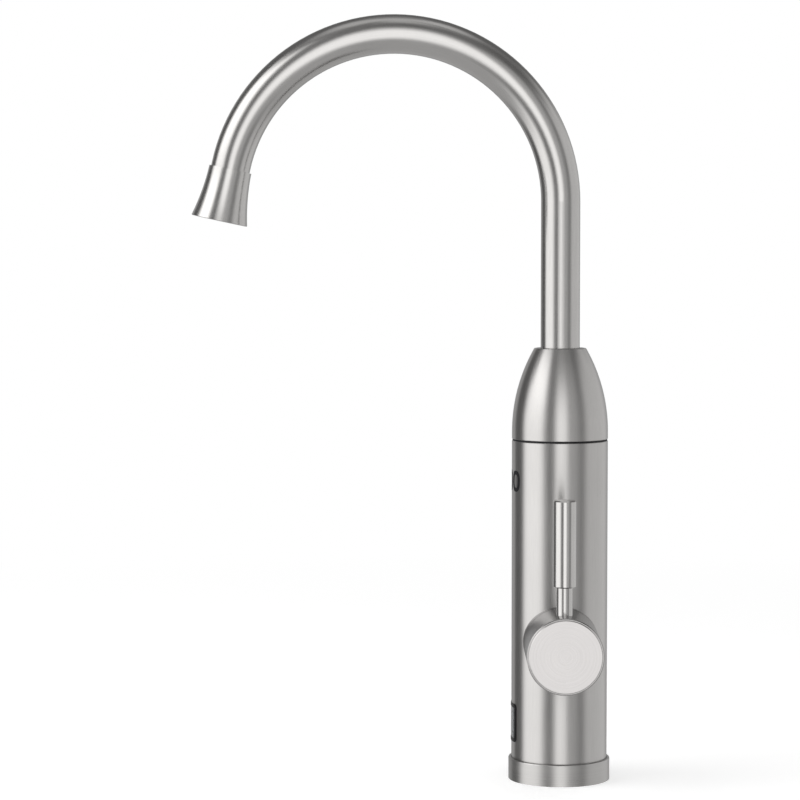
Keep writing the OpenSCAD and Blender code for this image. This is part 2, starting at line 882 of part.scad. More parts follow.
// Outline from the axis to the skirt and the curve of the dome, moved inward by a wall
module dome_curve(inset) {
    curve = [
        for (i = [0 : dome_steps])
            let (a = dome_arc_a * i / dome_steps)
                [
                    body_r - dome_arc_r + (dome_arc_r - inset) * cos(a),
                    arc_z0 + (dome_arc_r - inset) * sin(a)
                ]
    ];
    polygon(concat([[0, dome_z0 - 1], [body_r - inset, dome_z0 - 1]], curve, [[0, dome_top_z]]));
}

// Outline with the rounded shoulder at the top
module dome_shoulder() {
    square([body_r, dome_top_z - shoulder_r]);
    square([dome_top_d / 2 - shoulder_r, dome_top_z]);
    translate([dome_top_d / 2 - shoulder_r, dome_top_z - shoulder_r])
        circle(r = shoulder_r, $fn = 64);
}

module dome_cover() {
    color("#b6b5b3")
        rotate_extrude()
            difference() {
                intersection() {
                    dome_curve(0);
                    dome_shoulder();
                    translate([0, dome_z0]) square([body_r, dome_h]);
                }
                intersection() {
                    dome_curve(body_wall);
                    square([body_r, dome_top_z - collar_depth]);
                }
                square([bush_r + fit_gap, dome_top_z - lip_t]);
                square([spout_r + lip_gap, dome_top_z + 1]);
                polygon([
                    [body_r - seam_edge - 1, dome_z0 - 1],
                    [body_r + 1, dome_z0 - 1],
                    [body_r + 1, dome_z0 + seam_edge + 1]
                ]);
            }
}

// Flow switch

module at_inlet() {
    translate([inlet_x, 0, 0]) children();
}

module flow_housing() {
    color("#e4e2dc")
        difference() {
            union() {
                at_inlet() disc(sensor_r, sensor_z0, sensor_z1);
                at_inlet() disc(sensor_neck_r, sensor_z1 - eps, sensor_neck_z1);
                translate([reed_x - reed_clip_w / 2, -reed_clip_w / 2, spring_z0])
                    cube([sensor_r, reed_clip_w, reed_clip_h]);
            }
            at_inlet() {
                disc(nipple_spigot_r + fit_gap, sensor_z0 - 1, sensor_socket_z);
                disc(water_bore_r, sensor_z0, spring_z0);
                disc(piston_bore_r, sensor_bore_z0, spring_z1);
                disc(sensor_neck_bore_r, spring_z0, sensor_neck_z1 + 1);
            }
            translate([reed_x, 0, 0]) disc(reed_r + fit_gap, spring_z0 - 1, spring_z0 + reed_clip_h + 1);
        }
}

// Piston that the flow lifts, slotted so that water passes it
module flow_piston() {
    color("#2e4d78")
        at_inlet()
            difference() {
                disc(piston_r, piston_z0, piston_z0 + piston_h);
                disc(magnet_r + fit_gap, magnet_z1 - magnet_h, magnet_z1 + 2 * magnet_sink);
                for (a = [45 : 90 : 315])
                    rotate([0, 0, a])
                        translate([piston_r, 0, 0])
                            disc(piston_slot_r, piston_z0 - 1, piston_z0 + piston_h + 1);
            }
}

module piston_magnet() {
    color("#55575b")
        at_inlet() disc(magnet_r, magnet_z1 - magnet_h, magnet_z1);
}

// One unbroken tube along a path, with flat ends
module wire(path, r, sides) {
    last = (len(path) - 1) * sides;
    walls = [
        for (i = [0 : len(path) - 2], k = [0 : sides - 1])
            let (a = i * sides + k, b = i * sides + (k + 1) % sides)
                each [[a, b, b + sides], [a, b + sides, a + sides]]
    ];
    low_end = [for (k = [1 : sides - 2]) [0, k + 1, k]];
    high_end = [for (k = [1 : sides - 2]) [last, last + k, last + k + 1]];
    polyhedron(points = wire_points(path, r, sides), faces = concat(walls, low_end, high_end));
}

module piston_spring() {
    color("#b9bbbd") at_inlet() wire(spring_path, spring_wire / 2, spring_sides);
}

module reed_switch() {
    color("#7fae8c") translate([reed_x, 0, 0]) disc(reed_r, reed_z, reed_z + reed_l);
}

// Valve block and cartridge

module valve_block() {
    color("#c4a24c")
        difference() {
            union() {
                disc(block_r, block_z0, block_z1);
                along_handle() disc(boss_r, 0, boss_x);
            }
            along_handle() disc(cavity_r, cavity_x, boss_x + 1);
            at_inlet() disc(inlet_socket_r, block_z0 - 1, block_z0 + socket_l);
            at_inlet() disc(shaft_port_r, block_z0, handle_z - port_off + shaft_port_r);
            disc(feed_socket_r, block_z1 - socket_l, block_z1 + 1);
            disc(shaft_port_r, handle_z + port_off - shaft_port_r, block_z1);
            translate([0, 0, -port_off]) along_handle() disc(port_r, inlet_x, cavity_x + 1);
            translate([0, 0, port_off]) along_handle() disc(port_r, 0, cavity_x + 1);
        }
}

// Two water ports through the seal and the fixed disc
module port_holes(r) {
    for (side = [-1, 1])
        translate([side * port_off, 0, 0]) disc(r, cavity_x - 1, moving_x + 1);
}

module cartridge_seal() {
    color("#1d1d1e")
        along_handle()
            difference() {
                disc(cart_r, cavity_x, disc_x);
                port_holes(port_r);
            }
}

module fixed_disc() {
    color("#ece9e2")
        along_handle()
            difference() {
                disc(disc_r, disc_x, disc_x + fixed_disc_t);
                port_holes(port_r);
            }
}

// Disc that turns with the lever: its pocket joins the two ports when the lever lies to either side
module moving_disc() {
    color("#f2efe9")
        along_handle()
            difference() {
                disc(disc_r, moving_x, driver_x);
                translate([-port_r, -port_off - port_r, moving_x - 1])
                    cube([2 * port_r, 2 * (port_off + port_r), bridge_depth + 1]);
            }
}

module cartridge_body() {
    color("#d9d8d3")
        along_handle()
            difference() {
                union() {
                    ring(cart_r, cart_ir, disc_x, cart_wall_x + eps);
                    disc(cart_r, cart_wall_x, nut_x);
                    disc(cart_hub_r, nut_x - eps, nut_x + cart_hub_l);
                    turn_stop();
                }
                disc(spindle_bore_r, cart_wall_x - 1, nut_x + cart_hub_l + 1);
                translate([0, 0, spindle_oring_x])
                    cylinder(
                        r = spindle_oring_mid + spindle_oring_r + fit_gap,
                        h = 2 * (spindle_oring_r + fit_gap),
                        center = true
                    );
            }
}

// Part ring inside the cartridge that stops the spindle's lug at each end of its turn
module turn_stop() {
    translate([0, 0, driver_x + run_gap])
        rotate([0, 0, 180 + handle_turn + stop_edge])
            rotate_extrude(angle = 360 - 2 * (handle_turn + stop_edge))
                translate([stop_ir, 0])
                    square([cart_ir - stop_ir + eps, cart_wall_x - driver_x - run_gap + eps]);
}

module valve_spindle() {
    color("#b8964a")
        along_handle()
            difference() {
                union() {
                    disc(driver_r, driver_x, driver_x + driver_t);
                    translate([-stop_r, -stop_w / 2, driver_x + slip_gap])
                        cube([stop_r, stop_w, driver_t - slip_gap]);
                    disc(spindle_r, driver_x + driver_t - eps, spindle_end_x);
                }
                translate([-2 * spindle_r - spindle_flat, -spindle_r, hub_x - 1])
                    cube([2 * spindle_r, 2 * spindle_r, spindle_end_x]);
                disc(screw_r + fit_gap, cap_seat_x - screw_head_t - screw_l - 1, spindle_end_x + 1);
            }
}

module cartridge_nut() {
    color("#c9a650")
        along_handle()
            difference() {
                union() {
                    disc(cart_r, nut_x, nut_head_x + eps);
                    translate([0, 0, nut_head_x]) cylinder(r = nut_head_r, h = nut_head_t, $fn = 6);
                }
                disc(cart_hub_r + slip_gap, nut_x - 1, nut_head_x + nut_head_t + 1);
            }
}

// Handle

module handle_collar() {
    color("#aaa9a7")
        along_handle()
            difference() {
                union() {
                    difference() {
                        disc(knob_r, 0, collar_x);
                        rotate([0, 90, 0]) cylinder(r = body_r + fit_gap, h = 3 * knob_r, center = true);
                    }
                    disc(collar_spigot_r, collar_spigot_x, collar_x - collar_wall_t);
                }
                disc(collar_thread_r, collar_spigot_x - 1, collar_x - collar_wall_t);
                disc(collar_hole_r, collar_spigot_x, collar_x + 1);
            }
}

module handle_knob() {
    color("#a6a5a3")
        difference() {
            union() {
                along_handle() knob_shell();
                along_handle() disc(hub_r, hub_x, web_x + eps);
                intersection() {
                    translate([lever_x, 0, handle_z]) disc(lever_boss_r, hub_r - 1, knob_r);
                    along_handle() disc(knob_ir + eps, knob_back_x, web_x);
                }
            }
            along_handle() spindle_socket();
            translate([lever_x, 0, handle_z]) disc(stud_r + fit_gap, spot_h - stud_in - slip_gap, knob_r + 1);
            translate([lever_x, 0, handle_z]) disc(spot_r, spot_h, knob_r + 1);
        }
}

// Barrel with its front web and the seat of the face, chamfered at both ends
module knob_shell() {
    rotate_extrude()
        difference() {
            polygon([
                [0, knob_back_x],
                [knob_r - knob_chamfer, knob_back_x],
                [knob_r, knob_back_x + knob_chamfer],
                [knob_r, knob_front_x - knob_chamfer],
                [knob_r - knob_chamfer, knob_front_x],
                [0, knob_front_x]
            ]);
            translate([-1, knob_back_x - 1]) square([knob_ir + 1, web_x - knob_back_x + 1]);
            translate([-1, cap_seat_x]) square([cap_r + fit_gap + 1, cap_t]);
        }
}

// Bore for the flatted spindle, and the way through the web for its screw
module spindle_socket() {
    difference() {
        disc(spindle_bore_r, hub_x - 1, hub_bore_x);
        translate([-2 * spindle_r - spindle_flat - fit_gap, -spindle_r - 1, hub_x - 2])
            cube([2 * spindle_r, 2 * spindle_r + 2, hub_bore_x]);
    }
    disc(screw_r + slip_gap, hub_bore_x - 1, cap_seat_x + 1);
    disc(screw_head_r + slip_gap, cap_seat_x - screw_head_t - slip_gap, cap_seat_x + 1);
}

module handle_cap() {
    color("#dad9d7")
        along_handle()
            rotate_extrude()
                polygon([
                    [0, cap_seat_x],
                    [cap_r, cap_seat_x],
                    [cap_r, knob_x - cap_edge],
                    [cap_r - cap_edge, knob_x],
                    [0, knob_x]
                ]);
}

module handle_screw() {
    color("#9a9b9d")
        along_handle()
            difference() {
                union() {
                    disc(screw_head_r, cap_seat_x - screw_head_t - fit_gap, cap_seat_x - fit_gap);
                    disc(screw_r, cap_seat_x - screw_head_t - screw_l, cap_seat_x - screw_head_t);
                }
                translate([0, 0, cap_seat_x - screw_head_t / 2])
                    cylinder(r = screw_socket_r, h = screw_head_t, $fn = 6);
            }
}

module at_lever() {
    translate([lever_x, 0, handle_z]) children();
}

module lever_rod() {
    color("#bcbbb9")
        at_lever() {
            disc(stud_r, spot_h - stud_in, spot_h + eps);
            disc(neck_r, spot_h, grip_low);
            disc(core_r, grip_low - eps, grip_low + core_l);
        }
}

module lever_grip() {
    color("#b3b2b0")
        at_lever()
            rotate_extrude()
                polygon([
                    [core_r + fit_gap, grip_low],
                    [grip_r - grip_edge, grip_low],
                    [grip_r, grip_low + grip_edge],
                    [grip_r, grip_low + grip_l - grip_edge],
                    [grip_r - grip_edge, grip_low + grip_l],
                    [0, grip_low + grip_l],
                    [0, grip_low + core_l + slip_gap],
                    [core_r + fit_gap, grip_low + core_l + slip_gap]
                ]);
}

// Heater

module feed_pipe() {
    color("#c9a650") ring(feed_r, feed_bore_r, block_z1 - socket_l + slip_gap, vessel_z0 + vessel_wall);
}

module vessel() {
    color("#c3c4c5")
        difference() {
            union() {
                disc(vessel_r, vessel_z0, vessel_z1);
                disc(feed_boss_r, vessel_z0 - feed_boss_h, vessel_z0 + eps);
            }
            disc(vessel_ir, vessel_z0 + vessel_wall, vessel_z1 + 1);
            disc(feed_r + fit_gap, vessel_z0 - feed_boss_h - 1, vessel_z0 + vessel_wall + 1);
            for (a = [leg_a, far_leg_a])
                rotate([0, 0, a])
                    translate([leg_r, 0, 0])
                        disc(element_r + fit_gap, vessel_z0 - 1, vessel_z0 + vessel_wall + 1);
        }
}

// Cap that closes the vessel, holds the tie rods and carries the dome on its ring
module vessel_cap() {
    color("#d8d6cf")
        difference() {
            disc(vessel_cap_r, cap_disc_z0 - vessel_cap_wrap, arc_z0);
            disc(vessel_r + fit_gap, cap_disc_z0 - vessel_cap_wrap - 1, cap_disc_z0);
            disc(vessel_cap_r - cap_ring_t, cap_disc_z1, arc_z0 + 1);
            disc(socket_thread_r + fit_gap, cap_disc_z0 - 1, cap_disc_z1 + 1);
            translate([probe_x, 0, 0]) disc(probe_r + fit_gap, cap_disc_z0 - 1, cap_disc_z1 + 1);
            at_rods() disc(rod_r + fit_gap, cap_disc_z0 - vessel_cap_wrap - 1, rod_top_z + slip_gap);
        }
}

module vessel_seal() {
    color("#2a2a2b") ring(vessel_r, vessel_ir, vessel_z1, cap_disc_z0);
}

module heating_element() {
    color("#9c9894") wire(element_path, element_r, element_sides);
}

module at_legs() {
    for (a = [leg_a, far_leg_a]) rotate([0, 0, a]) translate([leg_r, 0, 0]) children();
}

module element_terminals() {
    color("#e8e4da")
        at_legs() {
            disc(element_r - bush_step, element_low_z - bush_l, element_low_z);
            disc(pin_r, element_low_z - bush_l - pin_l, element_low_z - bush_l + eps);
        }
}

// Places a shape against the outside of the vessel, X pointing outward
module at_cutout() {
    rotate([0, 0, cutout_a]) translate([vessel_r + slip_gap, 0, cutout_z]) children();
}

module thermal_cutout() {
    color("#3a3b3d")
        at_cutout() translate([0, -cutout_w / 2, -cutout_h / 2]) cube([cutout_t, cutout_w, cutout_h]);
}

module cutout_clip() {
    color("#c3c4c5")
        difference() {
            union() {
                ring(clip_ir + clip_t, clip_ir, cutout_z - clip_h / 2, cutout_z + clip_h / 2);
                at_cutout()
                    translate([0, -cutout_w / 2 - slip_gap - clip_t, -clip_h / 2])
                        cube([cutout_t + slip_gap + clip_t, cutout_w + 2 * (slip_gap + clip_t), clip_h]);
            }
            at_cutout()
                translate([-vessel_r, -cutout_w / 2 - slip_gap, -clip_h])
                    cube([vessel_r + cutout_t + slip_gap, cutout_w + 2 * slip_gap, 2 * clip_h]);
            disc(clip_ir, cutout_z - clip_h, cutout_z + clip_h);
        }
}

module temperature_probe() {
    color("#c9a650")
        translate([probe_x, 0, 0]) {
            disc(probe_r, cap_disc_z0 - probe_l, cap_disc_z1 + eps);
            translate([0, 0, cap_disc_z1]) cylinder(r = probe_head_r, h = probe_head_h, $fn = 6);
        }
}

// Spout bearing

module spout_socket() {
    color("#c4a24c")
        difference() {
            union() {
                disc(socket_thread_r, cap_disc_z0, socket_z + eps);
                disc(socket_flange_r, socket_z, washer_z);
                disc(stub_r, washer_z - eps, stub_top_z);
            }
            disc(stub_bore_r, cap_disc_z0 - 1, stub_top_z + 1);
            for (z = spout_oring_z) groove(stub_r, spout_oring_mid, spout_oring_r, z);
            ring(stub_r + 1, stub_r - snap_in - fit_gap, snap_low - fit_gap, snap_high + fit_gap);
        }
}

// Rubber rings: two on the spout socket, one on the inlet spigot and one round the valve spindle
module o_rings() {
    color("#1b1b1c") {
        for (z = spout_oring_z) oring(spout_oring_mid, spout_oring_r, z);
        at_inlet() oring(nipple_oring_mid, nipple_oring_r, nipple_oring_z);
        along_handle() oring(spindle_oring_mid, spindle_oring_r, spindle_oring_x);
    }
}

module thrust_washer() {
    color("#e9e7e1") ring(socket_flange_r, stub_r + slip_gap, washer_z, washer_z + washer_t);
}

module spout_snap_ring() {
    color("#e9e7e1")
        difference() {
            ring(spout_ir + snap_out, stub_r - snap_in, snap_low, snap_high);
            translate([0, -snap_split / 2, snap_z - snap_t]) cube([spout_r, snap_split, 2 * snap_t]);
        }
}

module spout_bush() {
    color("#2b2b2c") ring(bush_r, bush_ir, dome_top_z - collar_depth, dome_top_z - lip_t);
}

// Spout

// Part of a full tube ring that the sweep leaves
module spout_arch() {
    cut = [4 * bend_r, 2 * bend_r, 4 * spout_r];
    difference() {
        rotate_extrude($fn = 120)
            translate([bend_r, 0])
                difference() {
                    circle(r = spout_r);
                    circle(r = spout_ir);
                }
        translate([-cut[0] / 2, -cut[1], -cut[2] / 2]) cube(cut);
        rotate([0, 0, sweep]) translate([-cut[0] / 2, 0, -cut[2] / 2]) cube(cut);
    }
}

// Riser, arch and straight tail of one tube
module spout_tube() {
    color("#b5b4b2")
        difference() {
            union() {
                ring(spout_r, spout_ir, spout_low_z, bend_z);
                at_arch() spout_arch();
                at_outlet() ring(spout_r, spout_ir, 0, tube_end);
            }
            disc(spout_ir + snap_out + slip_gap, snap_low - slip_gap, snap_high + slip_gap);
        }
}

module outlet_adapter() {
    color("#c4a24c")
        at_outlet()
            difference() {
                union() {
                    disc(adapter_r, adapter_z0, tube_end + eps);
                    disc(spout_r, tube_end, tube_end + adapter_flange_t);
                    disc(adapter_thread_r, tube_end + adapter_flange_t - eps, adapter_end);
                }
                disc(adapter_bore_r, adapter_z0 - 1, adapter_end + 1);
            }
}

module aerator_seal() {
    color("#1d1d1e") at_outlet() ring(adapter_thread_r, adapter_bore_r, adapter_end, insert_z);
}

// Plastic cage with ribs that breaks up the stream
module aerator_insert() {
    color("#d9d8d3")
        at_outlet() {
            ring(adapter_thread_r, adapter_thread_r - insert_wall, insert_z, mesh_z);
            ring(insert_flange_r, adapter_thread_r - insert_wall, mesh_z - insert_flange_t, mesh_z);
            for (a = [0 : 60 : 120])
                rotate([0, 0, a])
                    translate([-adapter_thread_r + insert_wall / 2, -insert_rib_t / 2, insert_rib_z])
                        cube([2 * adapter_thread_r - insert_wall, insert_rib_t, mesh_z - insert_rib_z]);
        }
}

module aerator_mesh() {
    color("#c8c9cb")
        at_outlet()
            translate([0, 0, mesh_z])
                linear_extrude(mesh_t)
                    difference() {
                        circle(r = insert_flange_r - fit_gap);
                        mesh_gaps();
                    }
}

// Square gaps of the mesh, as far out as a whole gap fits
module mesh_gaps() {
    reach = insert_flange_r - mesh_rim;
    count = ceil(reach / mesh_pitch);
    gap = mesh_pitch - mesh_bar;
    for (i = [-count : count], j = [-count : count])
        if (norm([abs(i) * mesh_pitch + gap / 2, abs(j) * mesh_pitch + gap / 2]) < reach)
            translate([i * mesh_pitch, j * mesh_pitch]) square(gap, center = true);
}

module aerator_housing() {
    color("#b7b6b4")
        at_outlet()
            rotate_extrude()
                difference() {
                    translate([0, tail_show]) square([flare_d / 2, flare_l]);
                    translate([flare_cx, flare_cz]) circle(r = flare_curve_r, $fn = 720);
                    square([spout_r + fit_gap, tube_end + adapter_flange_t + slip_gap]);
                    square([adapter_thread_r + fit_gap, mesh_z]);
                    translate([0, mesh_z - insert_flange_t - fit_gap])
                        square([insert_flange_r + fit_gap, flare_l]);
                    polygon([
                        [0, mesh_z + mesh_t],
                        [insert_flange_r + fit_gap, mesh_z + mesh_t],
                        [flare_d / 2 - flare_lip, flare_z1 + eps],
                        [0, flare_z1 + eps]
                    ]);
                    polygon([
                        [flare_d / 2 - flare_edge - eps, flare_z1 + eps],
                        [flare_d / 2 + 1, flare_z1 + eps],
                        [flare_d / 2 + 1, flare_z1 - flare_edge - 1]
                    ]);
                }
}

// Display

// Rounded block of a tube wall on the spout side
module display_sector(outer, inner, w, h, corner) {
    intersection() {
        ring(outer, inner, display_z - display_h, display_z + display_h);
        display_prism(w, h, corner);
    }
}

module display_bezel() {
    color("#1a1b1d")
        difference() {
            union() {
                display_sector(body_r + display_proud, body_r + eps, display_w, display_h, display_corner);
                display_sector(body_r + 2 * eps, shell_ir - plug_in, window_w - 2 * window_play,
                    window_h - 2 * window_play, window_corner - window_play);
            }
            display_prism(display_w - 2 * display_rim, display_h - 2 * display_rim, window_corner);
        }
}

module display_lens() {
    color("#22262b")
        display_sector(body_r + display_proud - lens_sink, body_r + display_proud - lens_sink - lens_t,
            display_w - 2 * display_rim - 2 * window_play, display_h - 2 * display_rim - 2 * window_play,
            window_corner - window_play);
}

module display_module() {
    color("#141516")
        translate([-module_w / 2, module_y, display_z - module_h / 2]) cube([module_w, module_t, module_h]);
}

// Two seven-bar digits, with the bars in the order top, upper left, upper right, middle, lower left,
// lower right and bottom
module display_digits() {
    color("#dfe6ea")
        for (n = [0, 1])
            translate([(n - 0.5) * digit_pitch, module_y, display_z])
                for (k = [0 : 6])
                    if (digit_bars[n][k]) digit_stroke(k);
}

module digit_stroke(k) {
    if (k % 3 == 0) {
        z = (1 - k / 3) * (digit_h - digit_bar) / 2;
        translate([-digit_w / 2 + digit_bar, -digit_t, z - digit_bar / 2])
            cube([digit_w - 2 * digit_bar, digit_t, digit_bar]);
    } else {
        x = (k % 3 == 1 ? -1 : 1) * (digit_w - digit_bar) / 2;
        z = (k < 3 ? 1 : -1) * (digit_h - digit_bar) / 4;
        translate([x - digit_bar / 2, -digit_t, z - digit_h / 4 + digit_bar])
            cube([digit_bar, digit_t, digit_h / 2 - 2 * digit_bar]);
    }
}

// Electronics

module control_board() {
    color("#2c6b45")
        translate([-board_w / 2, board_y, board_z0]) cube([board_w, board_t, board_z1 - board_z0]);
}

module board_bracket() {
    color("#d0cec8") {
        for (side = [-1, 1])
            translate([side * (board_w - bracket_w) / 2 - bracket_w / 2, bracket_y, foot_hub_z])
                cube([bracket_w, bracket_t, board_z1 - foot_hub_z]);
        translate([-board_w / 2, bracket_y, bracket_bar_z]) cube([board_w, bracket_t, bracket_bar_h]);
    }
}

module power_relay() {
    color("#2b2c30") translate([relay_x, bracket_y, relay_z]) cube(relay_size);
}

module terminal_block() {
    color("#3f6f56")
        difference() {
            translate([terminal_x, bracket_y, terminal_z]) cube(block_size);
            for (k = [0 : terminal_ways - 1])
                translate([
                    terminal_x + block_size[0] * (k + 0.5) / terminal_ways,
                    bracket_y + block_size[1] / 2,
                    terminal_z - 1
                ])
                    cylinder(r = terminal_way_r, h = block_size[2] / 2);
        }
}

module leads() {
    color("#a8382c") for (n = [0, 1]) wire(lead_paths[n], lead_r, lead_sides);
}

base_ring();
base_gasket();
base_casting();
tie_rods();
inlet_nipple();
inlet_strainer();
cable_gland();
cord_clamp();
foot_screws();
earth_lug();
body_shell();
seam_gasket();
dome_cover();
flow_housing();
flow_piston();
piston_magnet();
piston_spring();
reed_switch();
valve_block();
cartridge_seal();
fixed_disc();
moving_disc();
cartridge_body();
valve_spindle();
cartridge_nut();
handle_collar();
handle_knob();
handle_cap();
handle_screw();
lever_rod();
lever_grip();
feed_pipe();
vessel();
vessel_cap();
vessel_seal();
heating_element();
element_terminals();
thermal_cutout();
cutout_clip();
temperature_probe();
spout_socket();
o_rings();
thrust_washer();
spout_snap_ring();
spout_bush();
spout_tube();
outlet_adapter();
aerator_seal();
aerator_insert();
aerator_mesh();
aerator_housing();
display_bezel();
display_lens();
display_module();
display_digits();
control_board();
board_bracket();
power_relay();
terminal_block();
leads();
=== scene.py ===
import bmesh
import bpy
import math
from mathutils import Matrix, Vector


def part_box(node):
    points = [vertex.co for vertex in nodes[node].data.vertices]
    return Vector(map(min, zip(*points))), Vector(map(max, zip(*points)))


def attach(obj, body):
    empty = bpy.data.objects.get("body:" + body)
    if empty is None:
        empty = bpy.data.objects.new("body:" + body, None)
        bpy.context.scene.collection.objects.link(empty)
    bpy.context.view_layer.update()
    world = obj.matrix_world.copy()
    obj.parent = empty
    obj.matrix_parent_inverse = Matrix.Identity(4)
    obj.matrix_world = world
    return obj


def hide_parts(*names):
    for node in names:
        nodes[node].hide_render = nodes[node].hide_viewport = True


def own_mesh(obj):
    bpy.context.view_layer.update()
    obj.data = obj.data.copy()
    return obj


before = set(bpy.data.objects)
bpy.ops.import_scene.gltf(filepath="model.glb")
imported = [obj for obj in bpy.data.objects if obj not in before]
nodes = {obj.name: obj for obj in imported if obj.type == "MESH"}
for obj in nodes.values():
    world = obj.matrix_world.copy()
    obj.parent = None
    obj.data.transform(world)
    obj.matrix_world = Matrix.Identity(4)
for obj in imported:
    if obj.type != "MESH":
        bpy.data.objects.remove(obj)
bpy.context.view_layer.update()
print("frame loaded,", len(nodes), "nodes")


# Camera at the viewpoint of the photograph
shot = {
    "place": (1.562387, -0.075750, 0.308751),
    "forward": (-0.998145, -0.009170, -0.060191),
    "lens": 125.03,
    "sensor": 36.0,
    "nearest": 0.05,
    "farthest": 60,
}


def makeCamera():
    data = bpy.data.cameras.new("shotCamera")
    data.lens = shot["lens"]
    data.sensor_width = shot["sensor"]
    data.clip_start = shot["nearest"]
    data.clip_end = shot["farthest"]
    cam = bpy.data.objects.new("shotCamera", data)
    bpy.context.scene.collection.objects.link(cam)
    cam.rotation_mode = "QUATERNION"
    cam.location = shot["place"]
    cam.rotation_quaternion = Vector(shot["forward"]).to_track_quat("-Z", "Y")
    bpy.context.scene.camera = cam


makeCamera()
print("camera set")


# Small helpers for meshes and objects
creaseAngle = 60


def addObject(name, bm):
    mesh = bpy.data.meshes.new(name)
    bm.to_mesh(mesh)
    bm.free()
    obj = bpy.data.objects.new(name, mesh)
    bpy.context.scene.collection.objects.link(obj)
    return obj


def smoothByAngle(obj):
    limit = math.radians(creaseAngle)
    bm = bmesh.new()
    bm.from_mesh(obj.data)
    for face in bm.faces:
        face.smooth = True
    for edge in bm.edges:
        edge.smooth = not edge.is_manifold or edge.calc_face_angle(0) < limit
    bm.to_mesh(obj.data)
    bm.free()


# Helpers for nodes and materials
noiseReach = {"low": 0.3, "high": 0.7}                  # the stretch of a noise's 0 to 1 that is spread out


def emptyTree(owner):
    owner.use_nodes = True
    owner.node_tree.nodes.clear()
    return owner.node_tree


def addNode(tree, kind, values=(), **settings):
    node = tree.nodes.new(kind)
    for key, value in settings.items():
        setattr(node, key, value)
    for key, value in dict(values).items():
        node.inputs[key].default_value = value
    return node


def link(tree, source, target):
    tree.links.new(source, target)


def newMaterial(name, values):
    mat = bpy.data.materials.new(name)
    tree = emptyTree(mat)
    out = addNode(tree, "ShaderNodeOutputMaterial")
    shader = addNode(tree, "ShaderNodeBsdfPrincipled", values)
    link(tree, shader.outputs["BSDF"], out.inputs["Surface"])
    return mat, tree, shader


def calc(tree, operation, a, b=None):
    node = addNode(tree, "ShaderNodeMath", operation=operation)
    for i, value in enumerate([a, b]):
        if value is None:
            continue
        if isinstance(value, (int, float)):
            node.inputs[i].default_value = value
        else:
            link(tree, value, node.inputs[i])
    return node.outputs[0]


def weigh(tree, a, shareA, b, shareB):
    return calc(tree, "ADD", calc(tree, "MULTIPLY", a, shareA), calc(tree, "MULTIPLY", b, shareB))


def distance(tree, a, b):
    return calc(tree, "SQRT", weigh(tree, a, a, b, b))


def spread(tree, source, low, high, fromLow=0.0, fromHigh=1.0):
    node = addNode(tree, "ShaderNodeMapRange", {"From Min": fromLow, "From Max": fromHigh,
                                                "To Min": low, "To Max": high})
    link(tree, source, node.inputs["Value"])
    return node.outputs["Result"]


def spreadNoise(tree, source, low, high):
    return spread(tree, source, low, high, noiseReach["low"], noiseReach["high"])


def shade(tone, factor):
    return [min(1.0, c * factor) for c in tone]


def mixTones(tree, factor, first, second):
    mix = addNode(tree, "ShaderNodeMix", {"A": (*first, 1), "B": (*second, 1)}, data_type="RGBA")
    link(tree, factor, mix.inputs["Factor"])
    return mix.outputs["Result"]


def addBump(tree, shader, height, strength, depth):     # on top of the bumps that the shader already has
    bump = addNode(tree, "ShaderNodeBump", {"Strength": strength, "Distance": depth})
    link(tree, height, bump.inputs["Height"])
    for source in [earlier.from_socket for earlier in shader.inputs["Normal"].links]:
        link(tree, source, bump.inputs["Normal"])
    link(tree, bump.outputs["Normal"], shader.inputs["Normal"])


def newGroup(name, inputs, outputs):
    group = bpy.data.node_groups.new(name, "ShaderNodeTree")
    for label, value in inputs.items():
        sock = group.interface.new_socket(name=label, in_out="INPUT", socket_type="NodeSocketFloat")
        sock.default_value = value
    for label in outputs:
        group.interface.new_socket(name=label, in_out="OUTPUT", socket_type="NodeSocketFloat")
    return group, group.nodes.new("NodeGroupInput"), group.nodes.new("NodeGroupOutput")


def useGroup(tree, group, values):
    return addNode(tree, "ShaderNodeGroup", values, node_tree=group)


# Brushed grain, with one group for each way it can flow over a piece
spoutPath = {
    "bendRadius": 0.0935,
    "bendHeight": 0.326,
    "lean": 12.4,                                       # degrees by which the outlet leans away from the body
}
brushing = {
    "handleHeight": 0.08,
    "turnedRadius": 0.004,
    "lathedRadius": 0.006,
    "fineness": 2600.0,
    "length": 0.03,
    "fineDetail": 3.0,
    "fineRoughness": 0.62,
    "cloudScale": 38.0,
    "cloudDetail": 4.0,
    "cloudRoughness": 0.55,
}


